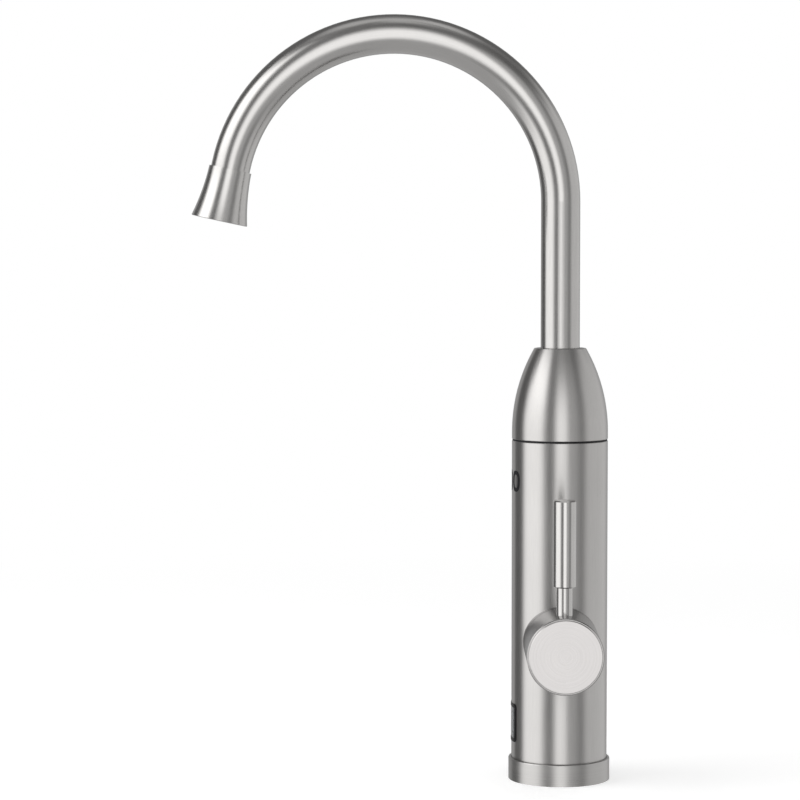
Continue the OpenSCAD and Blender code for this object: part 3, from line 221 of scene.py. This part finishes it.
def flowCoordinates(tree, flow):
    coord = addNode(tree, "ShaderNodeTexCoord").outputs["Object"]
    parts = addNode(tree, "ShaderNodeSeparateXYZ")
    join = addNode(tree, "ShaderNodeCombineXYZ")
    link(tree, coord, parts.inputs[0])
    x, y, z = parts.outputs
    if flow == "upright":
        across, second, along = x, y, z
    elif flow == "outlet":                              # along the leaning outlet
        lean = math.radians(spoutPath["lean"])
        across = x
        second = weigh(tree, y, math.cos(lean), z, -math.sin(lean))
        along = weigh(tree, y, math.sin(lean), z, math.cos(lean))
    elif flow == "turned":                              # round the handle axis
        up = calc(tree, "SUBTRACT", z, brushing["handleHeight"])
        across = x
        second = distance(tree, y, up)
        along = calc(tree, "MULTIPLY", calc(tree, "ARCTAN2", y, up), brushing["turnedRadius"])
    elif flow == "lathed":                              # round the body axis
        across = z
        second = distance(tree, y, x)
        along = calc(tree, "MULTIPLY", calc(tree, "ARCTAN2", y, x), brushing["lathedRadius"])
    else:                                               # along riser and arch
        bend = spoutPath["bendRadius"]
        level = calc(tree, "SUBTRACT", z, spoutPath["bendHeight"])
        inward = calc(tree, "ADD", y, bend)
        above = calc(tree, "GREATER_THAN", level, 0.0)
        below = calc(tree, "SUBTRACT", 1.0, above)
        bentAcross = calc(tree, "SUBTRACT", distance(tree, inward, level), bend)
        bentAlong = calc(tree, "MULTIPLY", calc(tree, "ARCTAN2", level, inward), bend)
        across = x
        second = weigh(tree, bentAcross, above, y, below)
        along = weigh(tree, bentAlong, above, level, below)
    for i, source in enumerate([across, second, along]):
        link(tree, source, join.inputs[i])
    return join.outputs[0]


def makeGrainGroup(flow):
    inputs = {"Fineness": brushing["fineness"], "Length": brushing["length"]}
    group, given, result = newGroup("grain" + flow.capitalize(), inputs, ["Grain", "Cloud"])
    coord = flowCoordinates(group, flow)
    lengthwise = calc(group, "MULTIPLY", given.outputs["Fineness"], given.outputs["Length"])
    stretch = addNode(group, "ShaderNodeCombineXYZ")
    for i, source in enumerate([given.outputs["Fineness"], given.outputs["Fineness"], lengthwise]):
        link(group, source, stretch.inputs[i])
    place = addNode(group, "ShaderNodeVectorMath", operation="MULTIPLY")
    link(group, coord, place.inputs[0])
    link(group, stretch.outputs[0], place.inputs[1])
    fine = addNode(group, "ShaderNodeTexNoise", {"Scale": 1.0, "Detail": brushing["fineDetail"],
                                                 "Roughness": brushing["fineRoughness"]})
    link(group, place.outputs[0], fine.inputs["Vector"])
    link(group, fine.outputs["Fac"], result.inputs["Grain"])
    broad = addNode(group, "ShaderNodeTexNoise", {"Scale": brushing["cloudScale"],
                                                  "Detail": brushing["cloudDetail"],
                                                  "Roughness": brushing["cloudRoughness"]})
    link(group, addNode(group, "ShaderNodeTexCoord").outputs["Object"], broad.inputs["Vector"])
    link(group, broad.outputs["Fac"], result.inputs["Cloud"])
    return group


grainGroups = {flow: makeGrainGroup(flow) for flow in ["upright", "outlet", "turned", "lathed", "bent"]}


# Speckle of cast, moulded and pressed surfaces, fine and in broad patches
speckle = {
    "size": 900.0,
    "broad": 60.0,
    "detail": 3.0,
    "roughness": 0.6,
}


def makeSpeckleGroup():
    inputs = {"Size": speckle["size"], "Broad": speckle["broad"]}
    group, given, result = newGroup("speckle", inputs, ["Fine", "Patches"])
    coord = addNode(group, "ShaderNodeTexCoord")
    for label, output in (("Size", "Fine"), ("Broad", "Patches")):
        noise = addNode(group, "ShaderNodeTexNoise", {"Detail": speckle["detail"],
                                                      "Roughness": speckle["roughness"]})
        link(group, coord.outputs["Object"], noise.inputs["Vector"])
        link(group, given.outputs[label], noise.inputs["Scale"])
        link(group, noise.outputs["Fac"], result.inputs[output])
    return group


speckleGroup = makeSpeckleGroup()


# Thread grooves in the foot's two bores: where the axis stands, the bore, its upper end and the pitch
threads = {
    "inlet": {"X": -0.009, "Y": 0.0, "Radius": 0.0045, "Top": 0.0098, "Pitch": 0.001},
    "stud": {"X": 0.0045, "Y": 0.0077942, "Radius": 0.0034, "Top": 0.0132, "Pitch": 0.00125},
}
groove = {
    "slack": 0.00015,                                   # how far outside the bore's radius it still shows
    "strength": 1.0,
    "depth": 0.0006,
}


def makeThreadGroup():
    group, given, result = newGroup("threadLines", threads["inlet"], ["Ridge"])
    parts = addNode(group, "ShaderNodeSeparateXYZ")
    link(group, addNode(group, "ShaderNodeTexCoord").outputs["Object"], parts.inputs[0])
    x = calc(group, "SUBTRACT", parts.outputs[0], given.outputs["X"])
    y = calc(group, "SUBTRACT", parts.outputs[1], given.outputs["Y"])
    z = parts.outputs[2]
    turn = calc(group, "DIVIDE", calc(group, "ARCTAN2", y, x), 2 * math.pi)
    climb = calc(group, "ADD", calc(group, "DIVIDE", z, given.outputs["Pitch"]), turn)
    wave = calc(group, "PINGPONG", climb, 0.5)
    edge = calc(group, "ADD", given.outputs["Radius"], groove["slack"])
    inside = calc(group, "LESS_THAN", distance(group, x, y), edge)
    below = calc(group, "LESS_THAN", z, given.outputs["Top"])
    ridge = calc(group, "MULTIPLY", calc(group, "MULTIPLY", wave, inside), below)
    link(group, ridge, result.inputs["Ridge"])
    return group


threadGroup = makeThreadGroup()


def addThread(tree, shader, thread):
    lines = useGroup(tree, threadGroup, threads[thread])
    addBump(tree, shader, lines.outputs["Ridge"], groove["strength"], groove["depth"])


# Brushed metals
metals = {
    "satinBody": dict(flow="upright", tone=(0.375, 0.369, 0.363), rough=(0.27, 0.34),
                      grain=0.05, fineness=2400.0, drawn=0.75),
    "satinRing": dict(flow="lathed", tone=(0.342, 0.337, 0.331), rough=(0.26, 0.33),
                      grain=0.05, fineness=2400.0),
    "satinSpout": dict(flow="bent", tone=(0.38, 0.374, 0.368), rough=(0.18, 0.24),
                       grain=0.04, fineness=2600.0),
    "satinOutlet": dict(flow="outlet", tone=(0.39, 0.385, 0.378), rough=(0.17, 0.23),
                        grain=0.05, fineness=2200.0),
    # the body's steel in a darker tone: painted shade on the knob's barrel and collar
    "turnedKnobPaintedShade": dict(flow="turned", tone=(0.25, 0.245, 0.242), rough=(0.20, 0.27),
                       grain=0.05, fineness=2600.0),
    "faceSteel": dict(flow="turned", tone=(0.350, 0.341, 0.338), rough=(0.22, 0.25),
                      grain=0.004, fineness=2200.0),
    "leverSteel": dict(flow="upright", tone=(0.40, 0.394, 0.388), rough=(0.14, 0.20),
                       grain=0.04, fineness=2800.0),
    "vesselSteel": dict(flow="lathed", tone=(0.36, 0.36, 0.365), rough=(0.30, 0.42),
                        grain=0.08, fineness=900.0),
    "wireSteel": dict(flow="upright", tone=(0.50, 0.51, 0.52), rough=(0.18, 0.26),
                      grain=0.02, fineness=3000.0),
    "zincPlate": dict(flow="lathed", tone=(0.52, 0.53, 0.56), rough=(0.26, 0.38),
                      grain=0.04, fineness=1800.0),
    "turnedBrass": dict(flow="lathed", tone=(0.62, 0.44, 0.17), rough=(0.20, 0.30),
                        grain=0.10, fineness=1500.0),
    "threadedBrass": dict(flow="lathed", tone=(0.62, 0.44, 0.17), rough=(0.20, 0.30),
                          grain=0.10, fineness=1500.0, thread="inlet"),
    "tinnedCopper": dict(flow="upright", tone=(0.66, 0.66, 0.64), rough=(0.24, 0.34),
                         grain=0.03, fineness=1200.0),
    "elementSheath": dict(flow="upright", tone=(0.30, 0.27, 0.25), rough=(0.38, 0.52),
                          grain=0.06, fineness=700.0),
}
metalLook = {
    "grainShare": 0.65,
    "cloudShare": 0.35,
    "darkest": 0.93,
    "palest": 1.07,
    "bumpDepth": 0.0002,
}


def makeMetal(name, flow, tone, rough, grain, fineness, drawn=0.0, thread=""):
    mat, tree, shader = newMaterial(name, {"Metallic": 1.0})
    source = useGroup(tree, grainGroups[flow], {"Fineness": fineness})
    mixed = weigh(tree, source.outputs["Grain"], metalLook["grainShare"],
                  source.outputs["Cloud"], metalLook["cloudShare"])
    link(tree, spreadNoise(tree, mixed, *rough), shader.inputs["Roughness"])
    tint = mixTones(tree, spreadNoise(tree, mixed, 0.0, 1.0),
                    shade(tone, metalLook["darkest"]), shade(tone, metalLook["palest"]))
    link(tree, tint, shader.inputs["Base Color"])
    addBump(tree, shader, source.outputs["Grain"], grain, metalLook["bumpDepth"])
    if drawn:                                           # reflections drawn out along the upright axis
        upright = addNode(tree, "ShaderNodeCombineXYZ", {"Z": 1.0})
        turn = addNode(tree, "ShaderNodeVectorTransform", vector_type="VECTOR",
                       convert_from="OBJECT", convert_to="WORLD")
        link(tree, upright.outputs[0], turn.inputs[0])
        link(tree, turn.outputs[0], shader.inputs["Tangent"])
        shader.inputs["Anisotropic"].default_value = drawn
    if thread:
        addThread(tree, shader, thread)
    return mat


# Castings, rubbers, plastics and ceramics
solids = {
    "castFoot": dict(tone=(0.42, 0.43, 0.44), rough=(0.42, 0.58), size=1400.0, bump=0.35,
                     metallic=1.0, thread="stud"),
    "blackRubber": dict(tone=(0.010, 0.010, 0.011), rough=(0.60, 0.75), size=1800.0, bump=0.20,
                        shine=0.2),
    "blackPrint": dict(tone=(0.010, 0.010, 0.011), rough=(0.50, 0.62), size=2600.0, bump=0.05,
                       shine=0.10),
    "blackPlastic": dict(tone=(0.030, 0.030, 0.033), rough=(0.38, 0.52), size=2400.0, bump=0.16),
    "bezelBlack": dict(tone=(0.008, 0.008, 0.009), rough=(0.20, 0.28), size=900.0, bump=0.01,
                       shine=0.06),
    "whitePlastic": dict(tone=(0.72, 0.71, 0.68), rough=(0.34, 0.46), size=1600.0, bump=0.08),
    "bluePlastic": dict(tone=(0.05, 0.12, 0.30), rough=(0.36, 0.48), size=1600.0, bump=0.08),
    "ferriteDull": dict(tone=(0.07, 0.07, 0.075), rough=(0.50, 0.68), size=2600.0, bump=0.25),
    "lappedCeramic": dict(tone=(0.80, 0.78, 0.72), rough=(0.12, 0.20), size=900.0, bump=0.02),
    "circuitBoard": dict(tone=(0.03, 0.17, 0.085), rough=(0.26, 0.40), size=700.0, bump=0.10),
    "greenPlastic": dict(tone=(0.06, 0.20, 0.12), rough=(0.40, 0.52), size=1500.0, bump=0.10),
    "redSleeve": dict(tone=(0.42, 0.035, 0.025), rough=(0.44, 0.58), size=1500.0, bump=0.10),
}
solidLook = {
    "patchShare": 0.06,                                 # scale of the patches against the fine speckle's
    "darkest": 0.88,
    "palest": 1.12,
    "bumpDepth": 0.0003,
}


def makeSolid(name, tone, rough, size, bump, metallic=0.0, shine=0.5, thread=""):
    mat, tree, shader = newMaterial(name, {"Metallic": metallic, "Specular IOR Level": shine})
    source = useGroup(tree, speckleGroup, {"Size": size, "Broad": size * solidLook["patchShare"]})
    tint = mixTones(tree, spreadNoise(tree, source.outputs["Patches"], 0.0, 1.0),
                    shade(tone, solidLook["darkest"]), shade(tone, solidLook["palest"]))
    link(tree, tint, shader.inputs["Base Color"])
    link(tree, spreadNoise(tree, source.outputs["Fine"], *rough), shader.inputs["Roughness"])
    addBump(tree, shader, source.outputs["Fine"], bump, solidLook["bumpDepth"])
    if thread:
        addThread(tree, shader, thread)
    return mat


# Clear window of the display and glass of the reed switch
glasses = {
    "smokedLens": dict(tone=(0.16, 0.17, 0.18), rough=(0.03, 0.07), size=300.0, broad=25.0,
                       clearness=1.0, ior=1.35, shine=0.08),
    "reedGlass": dict(tone=(0.55, 0.80, 0.62), rough=(0.04, 0.10), size=600.0, broad=90.0,
                      clearness=0.85, ior=1.5, shine=0.5),
}


def makeGlass(name, tone, rough, size, broad, clearness, ior, shine):
    mat, tree, shader = newMaterial(name, {"Base Color": (*tone, 1), "Transmission Weight": clearness,
                                           "IOR": ior, "Specular IOR Level": shine})
    source = useGroup(tree, speckleGroup, {"Size": size, "Broad": broad})
    link(tree, spreadNoise(tree, source.outputs["Patches"], *rough), shader.inputs["Roughness"])
    return mat


# Lit digits of the display
digits = {
    "darkest": (0.78, 0.88, 0.94),
    "palest": (0.90, 0.97, 1.0),
    "size": 500.0,
    "broad": 160.0,
    "glow": 5.0,
    "rough": 0.4,
}


def makeDigits():
    mat, tree, shader = newMaterial("litDigits", {"Emission Strength": digits["glow"],
                                                  "Roughness": digits["rough"]})
    source = useGroup(tree, speckleGroup, {"Size": digits["size"], "Broad": digits["broad"]})
    tint = mixTones(tree, source.outputs["Patches"], digits["darkest"], digits["palest"])
    link(tree, tint, shader.inputs["Base Color"])
    link(tree, tint, shader.inputs["Emission Color"])
    return mat


finishes = {name: makeMetal(name, **values) for name, values in metals.items()}
finishes.update({name: makeSolid(name, **values) for name, values in solids.items()})
finishes.update({name: makeGlass(name, **values) for name, values in glasses.items()})
finishes["litDigits"] = makeDigits()
print("finishes made,", len(finishes))


# The finish of each node
nodeFinish = {
    "satinBody": ["body_shell", "dome_cover"],
    "satinRing": ["base_ring"],
    "satinSpout": ["spout_tube"],
    "satinOutlet": ["aerator_housing"],
    "turnedKnobPaintedShade": ["handle_collar", "handle_knob"],
    "faceSteel": ["handle_cap"],
    "leverSteel": ["lever_rod", "lever_grip"],
    "vesselSteel": ["vessel"],
    "wireSteel": ["inlet_strainer", "aerator_mesh", "piston_spring", "cutout_clip"],
    "zincPlate": ["tie_rods", "foot_screws", "handle_screw"],
    "tinnedCopper": ["earth_lug"],
    "castFoot": ["base_casting"],
    "blackRubber": ["base_gasket", "seam_gasket", "vessel_seal", "cartridge_seal", "o_rings", "aerator_seal"],
    "blackPlastic": ["cable_gland", "cord_clamp", "thermal_cutout", "spout_bush", "power_relay",
                     "display_module"],
    "bezelBlack": ["display_bezel"],
    "smokedLens": ["display_lens"],
    "threadedBrass": ["inlet_nipple"],
    "turnedBrass": ["feed_pipe", "spout_socket", "outlet_adapter", "valve_block",
                    "valve_spindle", "cartridge_nut", "temperature_probe"],
    "whitePlastic": ["flow_housing", "cartridge_body", "vessel_cap", "thrust_washer", "spout_snap_ring",
                     "aerator_insert", "board_bracket"],
    "bluePlastic": ["flow_piston"],
    "ferriteDull": ["piston_magnet"],
    "lappedCeramic": ["fixed_disc", "moving_disc", "element_terminals"],
    "elementSheath": ["heating_element"],
    "reedGlass": ["reed_switch"],
    "litDigits": ["display_digits"],
    "circuitBoard": ["control_board"],
    "greenPlastic": ["terminal_block"],
    "redSleeve": ["leads"],
}

for finish, names in nodeFinish.items():
    for name in names:
        mesh = nodes[name].data
        for i in range(len(mesh.materials)):
            mesh.materials[i] = finishes[finish]
        if not mesh.materials:
            mesh.materials.append(finishes[finish])
dressed = {name for names in nodeFinish.values() for name in names}
print("nodes without a finish:", sorted(set(nodes) - dressed))


# Printed figures in black on the display side, wrapped round the body
figures = {
    "text": "300",
    "height": 0.0119,
    "width": 0.0090,
    "gap": 0.0013,
    "stroke": 0.0023,
    "level": 0.1696,
    "radius": 0.02701,
    "thickness": 0.00004,
    "weld": 1e-6,
    "zeroSteps": 40,
    "zeroSides": 0.7,                                   # under 1, the zero is squarer than an ellipse
    "zeroEnds": 0.8,
    "bowSteps": 16,
    "bowTip": 150,                                      # degrees at the free end of each bow of the three
    "bowWaist": 80,                                     # degrees where the two bows meet
}


def strokePath(figure):
    halfW = (figures["width"] - figures["stroke"]) / 2
    halfH = (figures["height"] - figures["stroke"]) / 2
    path = []
    if figure == "0":
        steps = figures["zeroSteps"]
        for i in range(steps + 1):
            t = 2 * math.pi * i / steps
            c, s = math.cos(t), math.sin(t)
            path.append((halfW * math.copysign(abs(c) ** figures["zeroSides"], c),
                         halfH * math.copysign(abs(s) ** figures["zeroEnds"], s)))
    else:                                               # a three
        steps, tip, waist = figures["bowSteps"], figures["bowTip"], figures["bowWaist"]
        for centre, first, last in ((halfH / 2, tip, -waist), (-halfH / 2, waist, -tip)):
            for i in range(steps + 1):
                t = math.radians(first + (last - first) * i / steps)
                path.append((halfW * math.cos(t), centre + halfH / 2 * math.sin(t)))
    return path


def addStroke(bm, path, across):
    closed = math.dist(path[0], path[-1]) < figures["weld"]
    count = len(path)
    made = bmesh.ops.create_grid(bm, x_segments=count - 1, y_segments=1, size=1.0)["verts"]
    r = figures["radius"]
    for vert in made:
        i = round((vert.co.x + 1) / 2 * (count - 1))
        before = path[i - 1] if i else (path[-2] if closed else path[0])
        after = path[i + 1] if i < count - 1 else (path[1] if closed else path[-1])
        run = Vector((after[0] - before[0], after[1] - before[1])).normalized()
        side = figures["stroke"] / 2 * (1 if vert.co.y > 0 else -1)
        a = -math.pi / 2 + (across + path[i][0] - run.y * side) / r
        vert.co = (r * math.cos(a), r * math.sin(a), figures["level"] + path[i][1] + run.x * side)


def makeFigures():
    bm = bmesh.new()
    pitch = figures["width"] + figures["gap"]
    for n, figure in enumerate(figures["text"]):
        addStroke(bm, strokePath(figure), (n - (len(figures["text"]) - 1) / 2) * pitch)
    bmesh.ops.remove_doubles(bm, verts=bm.verts[:], dist=figures["weld"])
    raised = bmesh.ops.extrude_face_region(bm, geom=bm.faces[:])
    grow = 1 + figures["thickness"] / figures["radius"]
    for vert in (g for g in raised["geom"] if isinstance(g, bmesh.types.BMVert)):
        vert.co = (vert.co.x * grow, vert.co.y * grow, vert.co.z)
    bmesh.ops.recalc_face_normals(bm, faces=bm.faces[:])
    obj = addObject("printedFigures", bm)
    obj.data.materials.append(finishes["blackPrint"])
    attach(obj, "body")


makeFigures()
print("figures printed")


# Woven wire in the mouth of the outlet, in place of the plain perforated disc
weave = {
    "depth": 0.0288,
    "reach": 0.0124,
    "rimRadius": 0.01245,
    "rimThickness": 0.00028,
    "rimSteps": 72,
    "pitch": 0.00105,
    "wire": 0.00014,
    "weld": 1e-7,
}


def outletPoint(across, second, deeper):
    t = math.radians(180 - spoutPath["lean"])
    y = -spoutPath["bendRadius"] + spoutPath["bendRadius"] * math.cos(t)
    z = spoutPath["bendHeight"] + spoutPath["bendRadius"] * math.sin(t)
    flow = (-math.sin(math.radians(spoutPath["lean"])), -math.cos(math.radians(spoutPath["lean"])))
    reach = weave["depth"] + deeper
    return (across, y + flow[0] * reach - flow[1] * second, z + flow[1] * reach + flow[0] * second)


def addWire(curve, points, radius, cyclic=False):
    spline = curve.splines.new("POLY")
    spline.points.add(len(points) - 1)
    for point, place in zip(spline.points, points):
        point.co = (*place, 1)
        point.radius = radius / weave["wire"]
    spline.use_cyclic_u = cyclic


def makeWeave():
    curve = bpy.data.curves.new("wovenMesh", "CURVE")
    curve.dimensions = "3D"
    curve.bevel_depth = weave["wire"]
    curve.bevel_resolution = 1
    curve.use_fill_caps = True
    pitch, reach = weave["pitch"], weave["reach"]
    count = int(reach / pitch)
    for i in range(-count, count + 1):
        offset = i * pitch
        half = math.sqrt(reach * reach - offset * offset)
        steps = max(2, int(half / (pitch / 2)))
        for direction in (0, 1):
            points = []
            for j in range(-steps, steps + 1):
                along = j * pitch / 2
                wave = weave["wire"] * math.cos(math.pi * along / pitch) * (1 if (i + direction) % 2 else -1)
                points.append(outletPoint(along, offset, wave) if direction else
                              outletPoint(offset, along, wave))
            addWire(curve, points, weave["wire"])
    turns = [2 * math.pi * k / weave["rimSteps"] for k in range(weave["rimSteps"])]
    rim = [outletPoint(weave["rimRadius"] * math.cos(t), weave["rimRadius"] * math.sin(t), 0) for t in turns]
    addWire(curve, rim, weave["rimThickness"], True)
    source = bpy.data.objects.new("wovenCurve", curve)
    bpy.context.scene.collection.objects.link(source)
    bpy.context.view_layer.update()
    solid = bpy.data.meshes.new_from_object(source.evaluated_get(bpy.context.evaluated_depsgraph_get()))
    bpy.data.objects.remove(source)
    bm = bmesh.new()
    bm.from_mesh(solid)
    bmesh.ops.remove_doubles(bm, verts=bm.verts[:], dist=weave["weld"])
    bmesh.ops.recalc_face_normals(bm, faces=bm.faces[:])
    obj = addObject("wovenMesh", bm)
    smoothByAngle(obj)
    obj.data.materials.append(finishes["wireSteel"])
    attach(obj, "spout")
    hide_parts("aerator_mesh")


makeWeave()
print("mesh woven")


# Return spring of the flow piston, wound at one length; the real spring is pressed together as the piston
# lifts
coil = {
    "radius": 0.0034,
    "wire": 0.00035,
    "turns": 6,
    "stepsPerTurn": 24,
    "sides": 8,
    "stroke": 0.006,
}


def makeSpring():
    low, high = (Vector(corner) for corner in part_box("piston_spring"))
    middle = (low + high) / 2
    rise = high.z - low.z - 2 * coil["wire"]
    steps = coil["turns"] * coil["stepsPerTurn"]
    bm = bmesh.new()
    place = Matrix.Translation((middle.x + coil["radius"], middle.y, low.z + coil["wire"]))
    bmesh.ops.create_circle(bm, cap_ends=True, segments=coil["sides"], radius=coil["wire"],
                            matrix=place @ Matrix.Rotation(math.pi / 2, 4, "X"))
    bmesh.ops.spin(bm, geom=bm.verts[:] + bm.edges[:] + bm.faces[:], cent=(middle.x, middle.y, 0),
                   axis=(0, 0, 1), dvec=(0, 0, rise / steps), angle=2 * math.pi * coil["turns"], steps=steps)
    bmesh.ops.recalc_face_normals(bm, faces=bm.faces[:])
    obj = addObject("pistonCoil", bm)
    smoothByAngle(obj)
    obj.data.materials.append(finishes["wireSteel"])
    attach(obj, "body")
    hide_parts("piston_spring")
    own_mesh(obj)


makeSpring()
print("spring wound")


# Studio: white surroundings, pale floor, soft lamps and one round screen that only the steel mirrors
studio = {
    "centre": (0.0, -0.06, 0.22),
    "white": (1, 1, 1, 1),
    "worldLevel": 0.55,
    "floorTone": 0.80,
    "floorRadius": 9.0,
    "floorSides": 96,
    "floorLift": 0.42,
    "shadowStart": 0.25,
    "shadowRadius": 1.1,
    "screenRadius": 6.0,
    "screenStep": 2.5,
    "screenBase": 0.96,
    "screenColor": (1.0, 0.995, 0.99, 1),
}
lamps = {                     # azimuth from the camera side, elevation, distance, width, height, radiance
    "softboxLeft": (-72, 24, 1.25, 1.20, 1.40, 1.7),
    "stripFront": (2, 12, 1.30, 0.50, 0.95, 1.7),
    "fillTop": (60, 72, 1.60, 1.0, 1.0, 0.9),
}
panels = {                    # azimuth and half width, lowest and highest elevation, soft edges, tone
    "right": (95, 62, -90, 90, 16, 10, 1.07),
    "behind": (180, 38, -90, 90, 16, 10, 0.50),
    "greyFront": (31, 17, -90, 90, 8, 10, 0.80),
    "ringHigh": (0, 200, 38, 66, 10, 9, 0.30),
    "flagLeft": (-121, 19, -90, 60, 6, 10, 0.20),
    "softbox": (-71, 26.5, -90, 18, 8, 8, 2.15),
    "flagMiddle": (-25, 10.5, -90, 90, 8, 12, 0.36),
    "softboxHigh": (-67.5, 26, 14, 48, 8, 9, 3.05),
    "flagMiddleHigh": (-20, 11.5, 14, 66, 8, 9, 0.34),
    "flagRight": (52, 10, -90, 90, 9, 12, 0.42),
    "strip": (1.5, 13.5, -90, 26, 8, 12, 2.30),
    "flagRightHigh": (66, 22, 36, 62, 8, 9, 0.22),
    "backHigh": (180, 56, 24, 58, 14, 9, 0.22),
    "top": (0, 200, 80, 120, 10, 7, 0.95),
    "ringLow": (0, 200, -90, -27, 10, 13, 0.76),
}


def facing(azimuth, elevation, far):
    a, e = math.radians(azimuth), math.radians(elevation)
    outward = Vector((math.cos(a) * math.cos(e), math.sin(a) * math.cos(e), math.sin(e)))
    return Vector(studio["centre"]) + outward * far, outward


def makeLamp(name, azimuth, elevation, far, width, height, radiance):
    place, outward = facing(azimuth, elevation, far)
    data = bpy.data.lights.new(name, "AREA")
    data.shape = "RECTANGLE"
    data.size, data.size_y = width, height
    data.energy = radiance * math.pi * width * height
    lamp = bpy.data.objects.new(name, data)
    bpy.context.scene.collection.objects.link(lamp)
    lamp.location = place
    lamp.rotation_mode = "QUATERNION"
    lamp.rotation_quaternion = (-outward).to_track_quat("-Z", "Y")
    lamp.visible_camera = False
    lamp.visible_glossy = False


def ease(value):
    value = min(1.0, max(0.0, value))
    return value * value * (3 - 2 * value)


# Brightness of the screen in one direction: every panel covers the ones before it, with soft edges
def screenTone(azimuth, elevation):
    tone = studio["screenBase"]
    for middle, half, low, high, softSide, softEnd, level in panels.values():
        off = abs((azimuth - middle + 180) % 360 - 180)
        side = ease((half + softSide - off) / (2 * softSide))
        foot = 1.0 if low <= -90 else ease((elevation - low + softEnd) / (2 * softEnd))
        head = 1.0 if high >= 90 else ease((high + softEnd - elevation) / (2 * softEnd))
        tone += (level - tone) * side * foot * head
    return tone


def addGlow(tree, color, strength):
    glow = addNode(tree, "ShaderNodeEmission", {"Color": color})
    link(tree, strength, glow.inputs["Strength"])
    return glow.outputs[0]


def makeScreen():
    step = studio["screenStep"]
    across, upward = round(360 / step), round(180 / step)
    bm = bmesh.new()
    bmesh.ops.create_uvsphere(bm, u_segments=across, v_segments=upward, radius=studio["screenRadius"])
    bmesh.ops.translate(bm, verts=bm.verts[:], vec=studio["centre"])
    layer = bm.verts.layers.float.new("tone")
    for vert in bm.verts:
        d = vert.co - Vector(studio["centre"])
        vert[layer] = screenTone(math.degrees(math.atan2(d.y, d.x)), math.degrees(math.asin(d.z / d.length)))
    screen = addObject("screen", bm)
    mat = bpy.data.materials.new("screenGlow")
    tree = emptyTree(mat)
    tone = addNode(tree, "ShaderNodeAttribute", attribute_name="tone")
    glow = addGlow(tree, studio["screenColor"], tone.outputs["Fac"])
    link(tree, glow, addNode(tree, "ShaderNodeOutputMaterial").inputs["Surface"])
    screen.data.materials.append(mat)
    screen.visible_camera = False
    screen.visible_diffuse = False
    screen.visible_shadow = False
    screen.visible_transmission = False


def backgroundMask(tree):
    rays = addNode(tree, "ShaderNodeLightPath")
    seen = calc(tree, "MAXIMUM", rays.outputs["Is Camera Ray"], rays.outputs["Is Glossy Ray"])
    return calc(tree, "MAXIMUM", seen, rays.outputs["Is Transmission Ray"])


# White where it is seen, and dimmer where it only lights the object
def surroundLevel(tree):
    return spread(tree, backgroundMask(tree), studio["worldLevel"], 1.0)


def makeWorld():
    world = bpy.data.worlds.new("studioWorld")
    bpy.context.scene.world = world
    tree = emptyTree(world)
    back = addNode(tree, "ShaderNodeBackground", {"Color": studio["white"]})
    link(tree, surroundLevel(tree), back.inputs["Strength"])
    link(tree, back.outputs[0], addNode(tree, "ShaderNodeOutputWorld").inputs["Surface"])


def makeFloor():
    bm = bmesh.new()
    bmesh.ops.create_circle(bm, cap_ends=True, segments=studio["floorSides"], radius=studio["floorRadius"])
    floor = addObject("floor", bm)
    mat = bpy.data.materials.new("floorPale")
    tree = emptyTree(mat)
    coord = addNode(tree, "ShaderNodeTexCoord")
    reach = addNode(tree, "ShaderNodeVectorMath", operation="LENGTH")
    link(tree, coord.outputs["Object"], reach.inputs[0])
    near = spread(tree, reach.outputs["Value"], 1.0, 0.0, studio["shadowStart"], studio["shadowRadius"])
    matt = addNode(tree, "ShaderNodeBsdfDiffuse", {"Color": (studio["floorTone"],) * 3 + (1,)})
    lift = calc(tree, "MULTIPLY", backgroundMask(tree), studio["floorLift"])
    both = addNode(tree, "ShaderNodeAddShader")
    link(tree, matt.outputs[0], both.inputs[0])
    link(tree, addGlow(tree, studio["white"], lift), both.inputs[1])
    mix = addNode(tree, "ShaderNodeMixShader")
    link(tree, near, mix.inputs[0])
    link(tree, addGlow(tree, studio["white"], surroundLevel(tree)), mix.inputs[1])
    link(tree, both.outputs[0], mix.inputs[2])
    link(tree, mix.outputs[0], addNode(tree, "ShaderNodeOutputMaterial").inputs["Surface"])
    floor.data.materials.append(mat)
    floor.visible_glossy = False


makeWorld()
makeFloor()
for name, values in lamps.items():
    makeLamp(name, *values)
makeScreen()
bpy.context.scene.view_settings.view_transform = "Standard"
print("studio set")

print("pieces ready")
